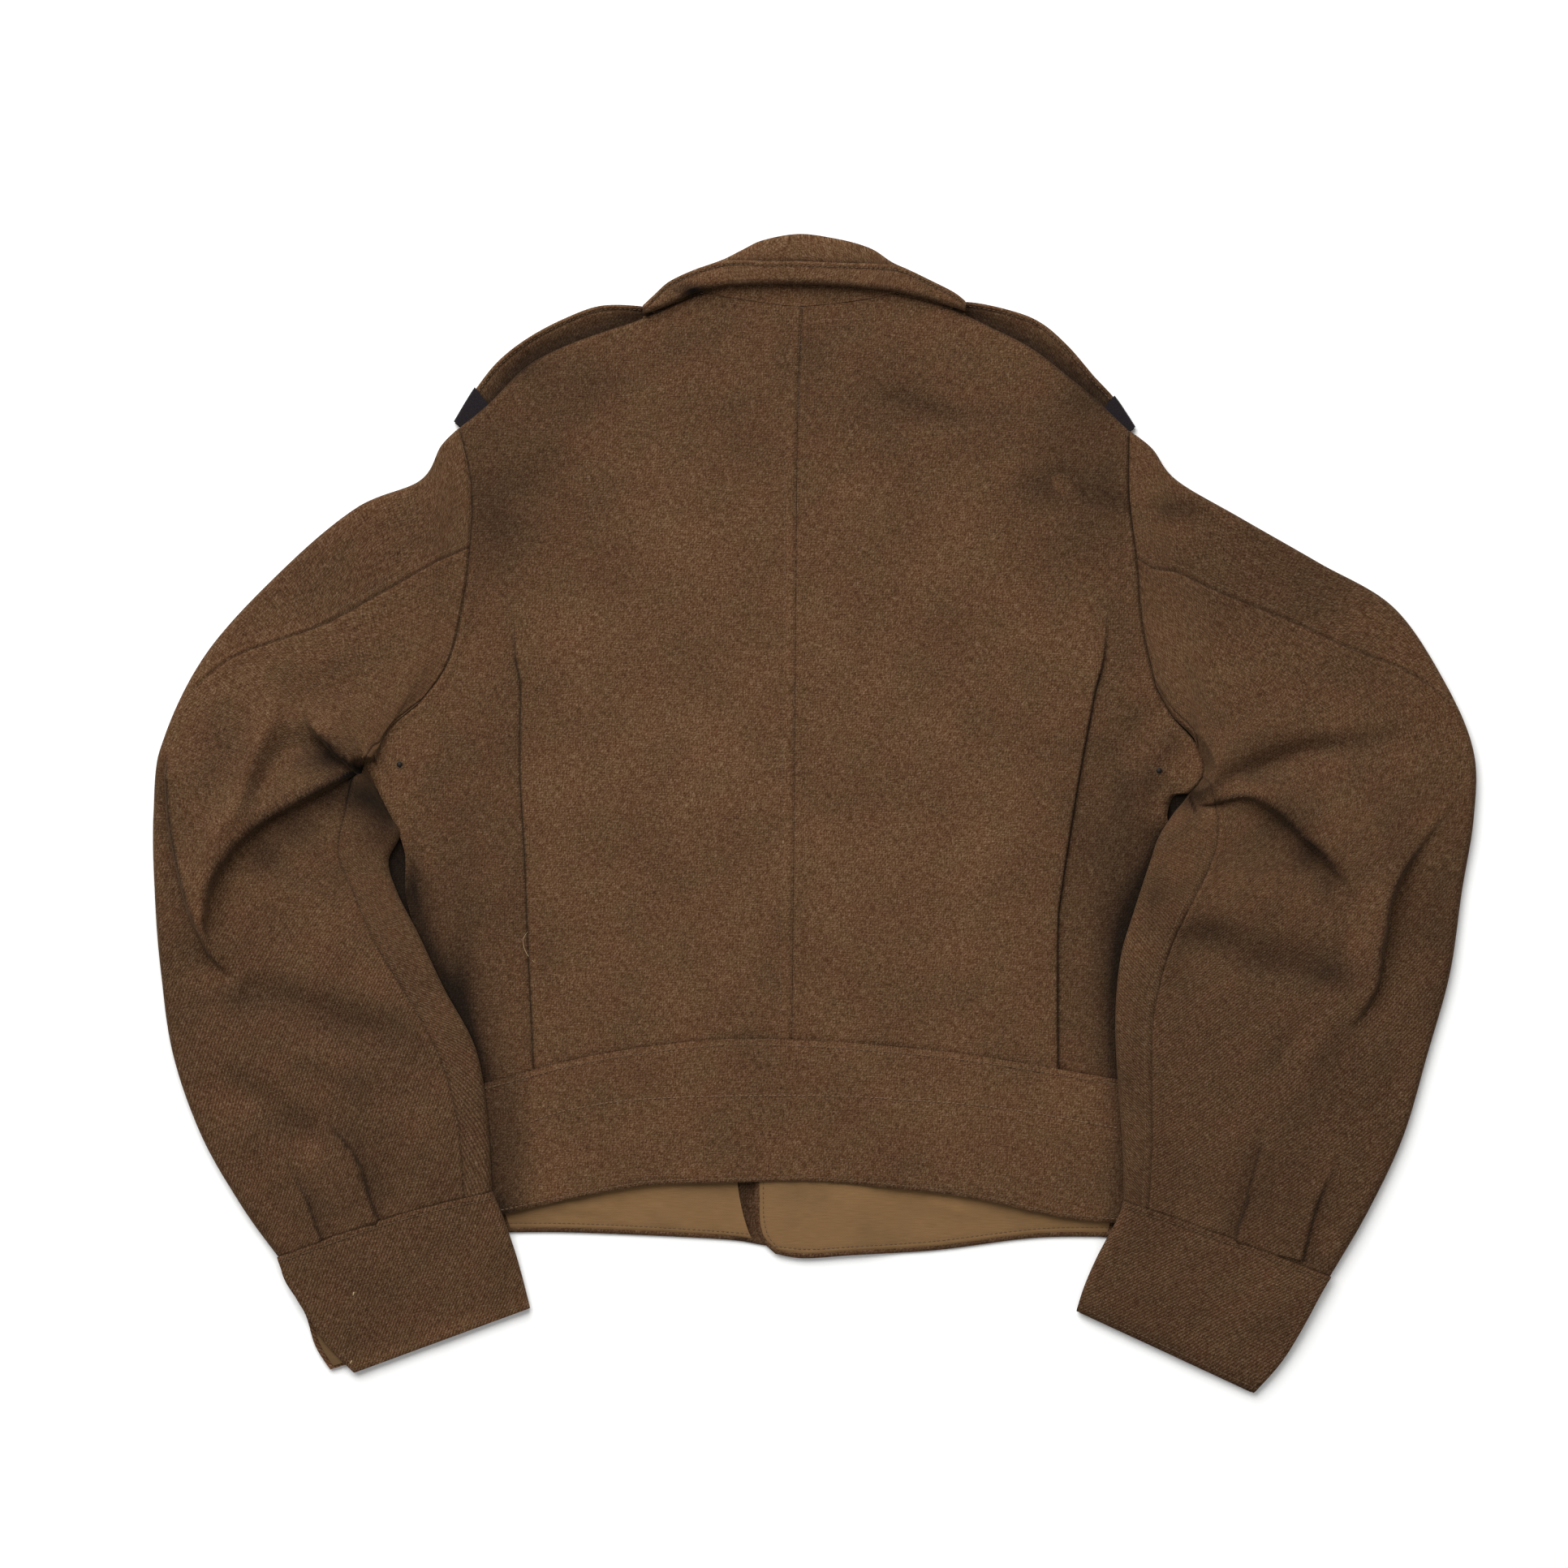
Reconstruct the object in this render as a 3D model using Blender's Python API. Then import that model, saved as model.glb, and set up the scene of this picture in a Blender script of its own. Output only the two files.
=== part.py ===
# Battle dress jacket, laid flat on its front with the back up.
# +Z is up from the surface, +Y runs from hem to collar, +X to the wearer's right.
# Sizes and tables are in millimetres and are scaled to metres as each mesh is made.

from collections import namedtuple

import bmesh
import bpy
import numpy as np

for old in list(bpy.data.objects):
    bpy.data.objects.remove(old)

MM = 0.001
MIDDLE = np.array([-0.9, 0.25, 0.0])     # middle of the outline, which becomes the origin
SERGE = 2.0           # one layer of the wool cloth
DOUBLED = 3.0         # two layers, as in waistband, cuffs and straps
COLLAR_WALL = 2.6     # collar leaf and under collar together
DRILL = 0.9           # cotton lining
SLIDE_WALL = 0.8      # black cloth round the strap ends
SEAM = 0.3            # gap between neighbours

BACK_TOP = 8.0        # top of the back over the waist
YOKE_RISE = 2.2       # the back lies higher over the shoulders and collar
PLEAT_DEPTH = 1.8     # the side part lies this far under each pleat's fold
PLEAT_HALF = 2.5      # half the width of that step
BAND_TOP = 9.0        # top of the waistband's back
CUFF_TOP = 9.0        # top of each cuff
LEAST_TOP = 5.6       # lowest a sleeve's upper layer may lie
MOST_TOP = 33.0       # highest a sleeve's fold may stand
FOLD_ROUND = 7.0      # plan width of the round along a sleeve's folded edge
FOLD_TURN = 9.0       # length of cloth from the side of that round to its top
CUFF_ROUND = 5.0
FRONT_LAP = 12        # wearer's left front ends this far past the origin, at the bottom of the lap
FRONT_EDGE = -34      # wearer's right front ends here, on top of the lap
STRAP_LIFT = 5.5      # fronts rise this much over the straps and slides
FRONT_WAIST = -186    # seam between the fronts and their waistband
LINING_RIM = 4.0      # wool that shows round the waistband's lining

SLEEVE_ROWS = 24
UNDER_COLUMNS = 12
NECK_STEPS = 7
BAND_COLUMNS = 23

Section = namedtuple("Section", "outer_x outer_y inner_x inner_y hindarm inseam loft")
Fold = namedtuple("Fold", "kind rise spread soft fade_in fade_out path")
CollarSection = namedtuple("CollarSection", "x neck roll fold edge drop")
StrapSection = namedtuple("StrapSection", "edge_x edge_y under_x under_y")
CuffSection = namedtuple("CuffSection", "outer_x outer_y inner_x inner_y lower_x lower_y")

# Sleeve sections from armhole to cuff: folded edges, seam places as shares of the width, height
SLEEVE = {
    "left": (
        Section(-237, 257, -265.6, 72.6, 0.405, 0.955, 10.0),
        Section(-249, 245, -275.2, 64.4, 0.385, 0.955, 11.0),
        Section(-263, 222, -285.1, 55.1, 0.330, 0.955, 12.0),
        Section(-305, 204, -293.8, 46.8, 0.345, 0.950, 13.0),
        Section(-354, 163, -300.4, 39.7, 0.280, 0.90, 14.0),
        Section(-405, 107, -291.5, 14, 0.080, 0.80, 15.0),
        Section(-434, 48, -281, -9, 0.0, 0.75, 15.0),
        Section(-440, 0, -284, -31, 0.0, 0.77, 14.0),
        Section(-439, -52, -278, -52, 0.0, 0.81, 13.0),
        Section(-435, -106, -264, -79, 0.0, 0.82, 13.0),
        Section(-427, -160, -247, -115, 0.0, 0.86, 13.0),
        Section(-408, -214, -226, -155, 0.0, 0.87, 12.0),
        Section(-381, -261, -218, -200, 0.0, 0.88, 11.0),
        Section(-358, -293, -215, -249, 0.0, 0.87, CUFF_TOP),
    ),
    "right": (
        Section(209, 256, 227.1, 84, 0.495, 0.955, 10.0),
        Section(224, 244, 233, 65, 0.450, 0.955, 11.0),
        Section(240, 223, 238, 46, 0.355, 0.955, 12.0),
        Section(282, 198, 242, 28, 0.300, 0.950, 13.0),
        Section(334, 168, 244, 10, 0.240, 0.92, 14.0),
        Section(384, 138, 239, 1, 0.200, 0.88, 15.0),
        Section(418, 88, 232, -14, 0.045, 0.86, 15.0),
        Section(437, 42, 226, -28, 0.0, 0.82, 15.0),
        Section(437, -2, 219, -44, 0.0, 0.85, 14.0),
        Section(429, -52, 210, -64, 0.0, 0.88, 13.0),
        Section(421, -106, 202, -95, 0.0, 0.89, 13.0),
        Section(406, -160, 198.5, -135, 0.0, 0.88, 13.0),
        Section(390, -214, 200, -176, 0.0, 0.88, 12.0),
        Section(367, -263, 203, -218, 0.0, 0.88, 11.0),
        Section(342, -306, 204, -255, 0.0, 0.88, CUFF_TOP),
    ),
}

# Armhole seam at even steps: from the shoulder tip down, then the part that runs under to the armpit
ARMHOLE = {
    "left": ((-237, 257), (-229, 218), (-230, 178), (-235, 138), (-245, 100), (-265, 72)),
    "right": ((208, 255), (208, 212), (213, 169), (217, 125), (226, 84)),
}
ARMPIT = {
    "left": ((-265, 72), (-282, 56), (-299, 40)),
    "right": ((226, 84), (237, 46), (243, 10)),
}
# Shoulder ridge from neck to tip
SHOULDER = {
    "left": ((-77, 346), (-111, 332), (-138, 323), (-165, 313), (-192, 299), (-216, 275), (-237, 257)),
    "right": ((55, 346), (94, 335), (116, 325), (143, 311), (170, 290), (189, 274), (208, 255)),
}
# Body's side from armpit to waist seam, just inside the sleeve's inner edge
SIDE = {
    "left": ((-299, 40), (-288, 13), (-276, -14), (-268, -42), (-260, -74), (-250, -100),
             (-236, -130), (-222.5, -157), (-215.5, -180)),
    "right": ((243, 10), (233, 1), (228, -16), (216, -44), (204, -76), (197, -110),
              (195, -140), (197.5, -177)),
}
# The fronts reach out to the sleeves underneath
FRONT_SIDE = {
    "left": ((-299, 40), (-288.5, 13), (-278.5, -10), (-281, -31), (-275, -52), (-261, -79),
             (-244, -115), (-223, -155), (-215.5, -180)),
    "right": ((243, 10), (236, 1), (229, -14), (216, -44), (204, -76), (198, -110),
              (195.5, -140), (197.5, -177)),
}
# Side ends of the waistband, from its seam to its lower edge
BAND_END = {
    "left": ((-215.5, -180), (-213.5, -220), (-212, -249), (-205, -267)),
    "right": ((197.5, -177), (200, -203), (201, -230), (201, -252), (196, -272)),
}
NECK = ((-77, 346), (-46, 341), (-11, 337), (29, 341), (55, 346))
CENTRE_SEAM = ((-9, 337), (-12, 272), (-13, 200), (-14, 60), (-16, -149))
BAND_SEAM = ((-215.5, -180), (-165, -164), (-111, -154), (-57, -149), (-3, -150), (51, -154),
             (105, -160), (159, -169), (197.5, -177))
BAND_HEM = ((-205, -267), (-165, -256), (-111, -246), (-57, -244), (-3, -243), (51, -248),
            (105, -255), (159, -267), (196, -272))
# Fold of each back pleat, from its top to the waistband
PLEAT = {
    "left": ((-195, 300), (-200, 130), (-195, 83), (-195, 29), (-192, -25), (-190, -79), (-186, -167)),
    "right": ((196, 300), (193, 129), (183, 77), (173, 23), (162, -47), (159, -79), (159, -166)),
}
FRONT_NECK = {
    "left": ((-77, 346), (-66, 312), (-45, 284), (-16, 266), (FRONT_LAP, 262)),
    "right": ((55, 346), (48, 312), (29, 284), (0, 266), (FRONT_EDGE, 262)),
}
# Lower edges of the front waistbands; the right one's end is rounded
LEFT_FRONT_HEM = ((-201, -278), (-165, -278), (-111, -280), (-57, -283), (-30, -287), (FRONT_LAP, -290))
RIGHT_FRONT_END = ((-40, FRONT_WAIST), (-40, -222), (-39, -257), (-35, -275), (-30, -287), (-22, -293))
RIGHT_FRONT_HEM = ((-22, -293), (24, -293), (78, -290), (132, -283), (159, -281), (192, -281))

# Main folds; a lap is high to the left of its path, a hollow has a negative rise
SLEEVE_FOLDS = {
    "left": (
        Fold("lap", 11.0, 26, 5, 0.25, 0.05,
             ((-406, -60), (-394, -28), (-376, -7), (-354, 2), (-327, 16), (-303, 29))),
        Fold("lap", 6.0, 24, 4, 0.25, 0.30,
             ((-434, 45), (-428, -20), (-413, -68), (-398, -101), (-376, -116))),
        Fold("ridge", 5.0, 14, 0, 0.30, 0.30, ((-354, 88), (-367, 45), (-389, -4), (-404, -50))),
        Fold("lap", 4.5, 16, 4, 0.35, 0.10, ((-335, 60), (-319, 46), (-303, 33))),
        Fold("ridge", -3.5, 16, 0, 0.30, 0.30, ((-376, -116), (-327, -130), (-262, -152))),
        Fold("ridge", -2.5, 11, 0, 0.35, 0.35, ((-370, -187), (-343, -209), (-322, -220))),
        Fold("lap", 2.4, 13, 2.5, 0.0, 0.45, ((-289, -276), (-299, -247), (-310, -220), (-319, -211))),
        Fold("lap", 1.6, 11, 3, 0.0, 0.60, ((-329, -288), (-335, -268), (-340, -252))),
    ),
    "right": (
        Fold("ridge", -4.5, 12, 0, 0.05, 0.45, ((250, 12), (289, 34), (332, 54), (375, 57), (429, 56))),
        Fold("lap", 10.0, 26, 5, 0.05, 0.25, ((244, 4), (278, 11), (305, 2), (326, -25), (353, -52))),
        Fold("lap", 6.0, 24, 4, 0.35, 0.25, ((351, -146), (372, -112), (375, -79), (388, -38), (437, 18))),
        Fold("ridge", -3.5, 17, 0, 0.25, 0.35, ((232, -79), (278, -93), (321, -97), (370, -95))),
        Fold("ridge", 4.0, 15, 0, 0.35, 0.35, ((300, 30), (345, 5), (380, -30), (376, -90))),
        Fold("lap", 2.4, 13, 2.5, 0.45, 0.0, ((297, -220), (286, -257), (277, -288))),
        Fold("lap", 1.6, 11, 3, 0.0, 0.55, ((322, -296), (332, -257), (348, -225))),
    ),
}
BACK_FOLDS = (
    Fold("ridge", -1.6, 14, 0, 0.25, 0.35, ((238, 62), (213, 29), (186, 2), (168, -16))),
    Fold("ridge", -1.2, 18, 0, 0.40, 0.40, ((-262, 60), (-235, 20), (-222, -40))),
)

COLLAR = (
    CollarSection(-111, 333, 343, 331.5, 341, 4.0),
    CollarSection(-97, 341, 354, 338.5, 353, 3.0),
    CollarSection(-80, 347, 361, 346, 360, 1.0),
    CollarSection(-60, 344, 370.5, 350.5, 365, 0.0),
    CollarSection(-35, 340, 381, 351, 366, 0.0),
    CollarSection(-11, 337.5, 385, 351, 366, 0.0),
    CollarSection(15, 338.5, 381.5, 350, 365, 0.0),
    CollarSection(38, 343.5, 371.5, 347.5, 363, 0.0),
    CollarSection(57, 347, 362, 345.5, 361, 1.0),
    CollarSection(75, 343, 354.5, 341.8, 353.5, 3.0),
    CollarSection(92, 339, 346.5, 337.8, 346, 4.0),
)
COLLAR_BEND = 2.5     # middle radius of the collar's roll and of its turned-up edge
STAND_MIDDLE = 9.0    # height of the stand's middle at the centre back

STRAP = {
    "left": (
        StrapSection(-119, 337, -106, 304), StrapSection(-143, 337.5, -128, 297),
        StrapSection(-165, 330, -150, 288), StrapSection(-190, 317, -171, 277),
        StrapSection(-211, 301, -187, 263), StrapSection(-226, 283, -199, 249),
        StrapSection(-235, 265, -209, 241),
    ),
    "right": (
        StrapSection(100, 340, 90, 305), StrapSection(127, 335, 110, 298),
        StrapSection(148, 327, 131, 289), StrapSection(166, 312, 148, 275),
        StrapSection(184, 291.5, 161, 259), StrapSection(197, 277, 170, 247),
        StrapSection(206, 263, 181, 240),
    ),
}
SLIDE_FROM, SLIDE_TO = 4.95, 5.90     # the slide's place, counted in strap sections
STRAP_SHARES = (0.0, 0.3, 0.6, 0.8, 0.92, 1.0)
STRAP_RISES = (0.0, 0.0, 0.0, 0.9, 2.4, 3.6)

CUFF = {
    "left": (
        CuffSection(-358, -294, -214.7, -250, -357, -296),
        CuffSection(-352, -309, -207, -269, -353, -310),
        CuffSection(-338, -333, -200, -290, -340, -331),
        CuffSection(-325, -352, -195, -308, -333, -353),
        CuffSection(-307, -371, -190, -328, -323, -369),
    ),
    "right": (
        CuffSection(342, -307, 203.7, -256, 341, -308),
        CuffSection(335, -319, 200, -268, 333, -320),
        CuffSection(322, -343, 187, -293, 319, -344),
        CuffSection(309, -364, 178, -314, 306, -365),
        CuffSection(291, -384.5, 173, -330, 289, -384),
    ),
}
CUFF_BOW = {"left": 4.0, "right": 1.5}     # how far the cuff seam bows toward the shoulder

# Free edge of each collar end, which lies in the open neck between the fronts
LEAF_EDGE = {
    "left": ((-52, 352), (-40, 322), (-26, 303), (-12, 290)),
    "right": ((30, 352), (20, 322), (8, 303), (-6, 290)),
}


def through(table, at):
    # Smooth curve through a table's rows, read at places counted in rows
    rows = np.asarray(table, float)
    last = len(rows) - 1
    at = np.clip(np.asarray(at, float), 0, last)
    first = np.minimum(at.astype(int), last - 1)
    part = (at - first)[..., None]
    before, start = rows[np.maximum(first - 1, 0)], rows[first]
    end, after = rows[first + 1], rows[np.minimum(first + 2, last)]
    leave, arrive = (end - before) / 2, (after - start) / 2
    left = start * (1 + 2 * part) + leave * part
    right = end * (3 - 2 * part) - arrive * (1 - part)
    return left * (1 - part) ** 2 + right * part ** 2


def share(table, along):
    return through(table, np.asarray(along, float) * (len(table) - 1))


def ease(low, high, value):
    part = np.clip((np.asarray(value, float) - low) / (high - low), 0, 1)
    return part * part * (3 - 2 * part)


def beside(path, points):
    # Signed distance of plan points from a path, positive on its left, and the share along it
    line = share(path, np.linspace(0, 1, 6 * len(path)))
    step = np.diff(line, axis=0)
    flat = np.asarray(points, float).reshape(-1, 1, 2) - line[:-1]
    part = np.clip((flat * step).sum(-1) / (step ** 2).sum(-1), 0, 1)
    miss = flat - part[..., None] * step
    gap = np.hypot(miss[..., 0], miss[..., 1])
    near = gap.argmin(1)
    pick = (np.arange(len(near)), near)
    turn = step[near, 0] * miss[pick][:, 1] - step[near, 1] * miss[pick][:, 0]
    shape = np.shape(points)[:-1]
    along = (near + part[pick]) / len(step)
    return (gap[pick] * np.sign(turn)).reshape(shape), along.reshape(shape)


def fold_height(fold, points):
    off, along = beside(fold.path, points)
    fade = ease(0, max(fold.fade_in, 0.001), along) * ease(0, max(fold.fade_out, 0.001), 1 - along)
    if fold.kind == "ridge":
        return fold.rise * fade * np.exp(-(off / fold.spread) ** 2)
    lip = 0.5 * (1 + np.tanh(off / fold.soft))
    return fold.rise * fade * lip * np.exp(-np.maximum(off, 0) / fold.spread)


def offset_curve(curve, along, gap):
    # Points of a curve moved sideways to its right
    ahead = curve(np.minimum(along + 0.01, 1)) - curve(np.maximum(along - 0.01, 0))
    normal = np.stack([ahead[..., 1], -ahead[..., 0]], -1)
    return curve(along) + gap * normal / np.linalg.norm(normal, axis=-1, keepdims=True)


def patch(left, right, near, far, across):
    # Rows from a left to a right edge, bent to follow the curved first and last rows
    part = np.linspace(0, 1, len(left))[:, None, None]
    across = np.broadcast_to(across, (len(left), np.shape(across)[-1]))
    w = across[..., None]
    rows = left[:, None] * (1 - w) + right[:, None] * w
    first = near(across) - (left[0] * (1 - w) + right[0] * w)
    final = far(across) - (left[-1] * (1 - w) + right[-1] * w)
    return rows + (1 - part) ** 2 * first + part ** 2 * final


def lifted(plan, height):
    return np.concatenate([plan, np.broadcast_to(height, plan.shape[:-1])[..., None]], -1)


def linear(code):
    values = [int(code[i:i + 2], 16) / 255 for i in (1, 3, 5)]
    return [v / 12.92 if v <= 0.04045 else ((v + 0.055) / 1.055) ** 2.4 for v in values]


def finish(name, mesh, cloth):
    colour, roughness = cloth
    body = bpy.data.objects.new(name, mesh)
    bpy.context.scene.collection.objects.link(body)
    material = bpy.data.materials.new(name)
    material.use_nodes = True
    shader = material.node_tree.nodes["Principled BSDF"]
    shader.inputs["Base Color"].default_value = (*linear(colour), 1)
    shader.inputs["Roughness"].default_value = roughness
    shader.inputs["Metallic"].default_value = 0
    mesh.materials.append(material)
    mesh.shade_smooth()
    mesh.set_sharp_from_angle(angle=0.7)
    return body


def wall(name, outer, inner, cloth):
    # Closed wall between two grids of points
    rows, columns = outer.shape[:2]
    bm = bmesh.new()
    skins = []
    for grid in (outer, inner):
        skins.append([[bm.verts.new((point - MIDDLE) * MM) for point in row] for row in grid])
    for i in range(rows - 1):
        for j in range(columns - 1):
            for skin in skins:
                bm.faces.new((skin[i][j], skin[i][j + 1], skin[i + 1][j + 1], skin[i + 1][j]))
    rim = [(0, j) for j in range(columns)] + [(i, columns - 1) for i in range(1, rows)]
    rim += [(rows - 1, j) for j in range(columns - 2, -1, -1)] + [(i, 0) for i in range(rows - 2, 0, -1)]
    for (i, j), (k, m) in zip(rim, rim[1:] + rim[:1]):
        bm.faces.new((skins[0][i][j], skins[0][k][m], skins[1][k][m], skins[1][i][j]))
    bmesh.ops.recalc_face_normals(bm, faces=bm.faces)
    mesh = bpy.data.meshes.new(name)
    bm.to_mesh(mesh)
    bm.free()
    return finish(name, mesh, cloth)


def ring_wall(name, outer, inner, cloth):
    # Band of closed loops, open through its middle
    loops, points = outer.shape[:2]
    bm = bmesh.new()
    skins = []
    for grid in (outer, inner):
        skins.append([[bm.verts.new((point - MIDDLE) * MM) for point in row] for row in grid])
    for j in range(points):
        k = (j + 1) % points
        for skin in skins:
            for i in range(loops - 1):
                bm.faces.new((skin[i][j], skin[i][k], skin[i + 1][k], skin[i + 1][j]))
        for i in (0, loops - 1):
            bm.faces.new((skins[0][i][j], skins[0][i][k], skins[1][i][k], skins[1][i][j]))
    bmesh.ops.recalc_face_normals(bm, faces=bm.faces)
    mesh = bpy.data.meshes.new(name)
    bm.to_mesh(mesh)
    bm.free()
    return finish(name, mesh, cloth)


WOOL = ("#5f4530", 0.95)
WOOL_DARK = ("#553c2b", 0.95)
TAN_DRILL = ("#80603f", 0.85)
BLACK_CLOTH = ("#1e191c", 0.9)

MIRROR = {"left": 1, "right": -1}     # keeps the sleeve on the outer side of each armhole


def pleat_x(side, y):
    rows = np.asarray(PLEAT[side][::-1], float)
    return np.interp(y, rows[:, 1], rows[:, 0])


def back_height(points):
    x, y = points[..., 0], points[..., 1]
    height = BACK_TOP + YOKE_RISE * ease(110, 230, y)
    reach = PLEAT_DEPTH * ease(150, 100, y)
    height = height - reach * ease(PLEAT_HALF, -PLEAT_HALF, x - pleat_x("left", y))
    height = height - reach * ease(-PLEAT_HALF, PLEAT_HALF, x - pleat_x("right", y))
    for fold in BACK_FOLDS:
        height = height + fold_height(fold, points)
    return height


def sleeve_sections(side, rows):
    values = share(SLEEVE[side], np.linspace(0, 1, rows))
    return Section(*[values[:, i] for i in range(values.shape[1])])


def sleeve_plan(side, rows, across):
    section = sleeve_sections(side, rows)
    outer = np.stack([section.outer_x, section.outer_y], -1)
    inner = np.stack([section.inner_x, section.inner_y], -1)

    def armhole(w):
        return offset_curve(lambda a: share(ARMHOLE[side], a), w, SEAM * MIRROR[side])

    def cuff_seam(w):
        w = w[..., None]
        bow = np.array([0.3 * MIRROR[side], 1.0]) * CUFF_BOW[side] * np.sin(np.pi * w)
        return outer[-1] * (1 - w) + inner[-1] * w + bow

    return patch(outer, inner, armhole, cuff_seam, across)


def sleeve_height(side, rows, across, plan):
    section = sleeve_sections(side, rows)
    place = np.linspace(0, len(SLEEVE[side]) - 1, rows)[:, None]
    loft = section.loft[:, None]
    edge = np.minimum(loft, 9.5)
    height = edge + (loft - edge) * (1 - np.abs(2 * across - 1) ** 3)
    for fold in SLEEVE_FOLDS[side]:
        height = height + fold_height(fold, plan)
    body = back_height(plan)
    height = body + (height - body) * ease(0, 2.2, place)
    return np.clip(height, LEAST_TOP, MOST_TOP)


def sleeve_layers(side, along, upper):
    # Outer and inner faces of the sleeve at lengths round its upper (or lower) half
    rows = len(along)
    section = sleeve_sections(side, rows)
    width = np.hypot(section.outer_x - section.inner_x, section.outer_y - section.inner_y)[:, None]
    whole = 2 * FOLD_TURN + width - 2 * FOLD_ROUND
    turn = np.clip(np.minimum(along, whole - along) / FOLD_TURN, 0, 1) * np.pi / 2
    toward = np.where(along < whole / 2, -1, 1)
    flat = np.clip(FOLD_ROUND + along - FOLD_TURN, FOLD_ROUND, width - FOLD_ROUND)
    crown = sleeve_height(side, rows, flat / width, sleeve_plan(side, rows, flat / width))
    faces = []
    for depth in (0, SERGE):
        plan = sleeve_plan(side, rows, (flat + toward * (FOLD_ROUND - depth) * np.cos(turn)) / width)
        faces.append(lifted(plan, crown / 2 + np.where(upper, 1, -1) * (crown / 2 - depth) * np.sin(turn)))
    return faces


def seam_lengths(side, rows):
    # Where the hindarm and inner seams lie, as lengths round the upper half
    section = sleeve_sections(side, rows)
    width = np.hypot(section.outer_x - section.inner_x, section.outer_y - section.inner_y)
    whole = 2 * FOLD_TURN + width - 2 * FOLD_ROUND
    ends = []
    for run in (section.hindarm * width, (1 - section.inseam) * width):
        past = np.where(run > FOLD_ROUND, FOLD_TURN + run - FOLD_ROUND, FOLD_TURN * run / FOLD_ROUND)
        ends.append(np.maximum(past, 0.5 * FOLD_TURN))
    return ends[0], whole - ends[1], whole


def strip_lengths(hindarm):
    # Steps from a sleeve's folded outer edge to the hindarm seam
    turn = np.minimum(FOLD_TURN, 0.6 * hindarm)
    return np.stack([0 * turn, turn / 2, turn, (turn + hindarm) / 2, hindarm], -1)


def lower_lengths(hindarm, whole):
    # Steps round the sleeve's hidden half, its first ones level with those of the strip above
    reach = np.maximum(hindarm, 40)
    steps = [FOLD_TURN + 0 * reach, (FOLD_TURN + reach) / 2]
    steps += [reach + (whole - FOLD_TURN - reach) * part for part in (0, 0.25, 0.5, 0.75, 1)]
    return np.stack(steps, -1)


def sleeve(side):
    hindarm, inseam, whole = seam_lengths(side, SLEEVE_ROWS)
    spread = np.linspace(0, 1, UNDER_COLUMNS)[None]
    panel = (hindarm + SEAM)[:, None] * (1 - spread) + (inseam - SEAM)[:, None] * spread
    wall("under_sleeve_" + side, *sleeve_layers(side, panel, True), WOOL)
    turn = np.full((SLEEVE_ROWS, 1), FOLD_TURN / 2)
    inner_strip = np.stack([whole, (whole + inseam) / 2, inseam], -1)
    runs = [(strip_lengths(hindarm)[:, ::-1], True), (turn, False), (lower_lengths(hindarm, whole), False),
            (whole[:, None] - turn, False), (inner_strip, True)]
    places = np.concatenate([run for run, _ in runs], 1)
    upper = np.concatenate([np.full(run.shape[1], top) for run, top in runs])
    wall("top_sleeve_" + side, *sleeve_layers(side, places, upper[None]), WOOL_DARK)


def armhole_shares(side, lengths):
    # Shares along the upper armhole of lengths round the sleeve's first row
    section = SLEEVE[side][0]
    width = np.hypot(section.outer_x - section.inner_x, section.outer_y - section.inner_y)
    return np.clip((FOLD_ROUND + lengths - FOLD_TURN) / width, 0, 1)


def body_edge(side, arm_shares, flank, ridge_count, side_count):
    # Outer edge of a body panel, its length along shoulder, armhole and side, and its corners
    ridge = share(SHOULDER[side], np.linspace(0, 1, ridge_count))[:-1]
    arm = np.concatenate([share(ARMHOLE[side], arm_shares), share(ARMPIT[side], np.linspace(0, 1, 5)[1:])])
    below = share(flank[side], np.linspace(0, 1, side_count))[1:]
    edge = np.concatenate([ridge, arm, below])
    run = np.concatenate([[0], np.cumsum(np.linalg.norm(np.diff(edge, axis=0), axis=1))])
    return edge, run, run[len(ridge)], run[len(ridge) + len(arm) - 1]


def along_x(table, x):
    rows = share(table, np.linspace(0, 1, 200))
    return np.interp(x, rows[:, 0], rows[:, 1])


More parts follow.
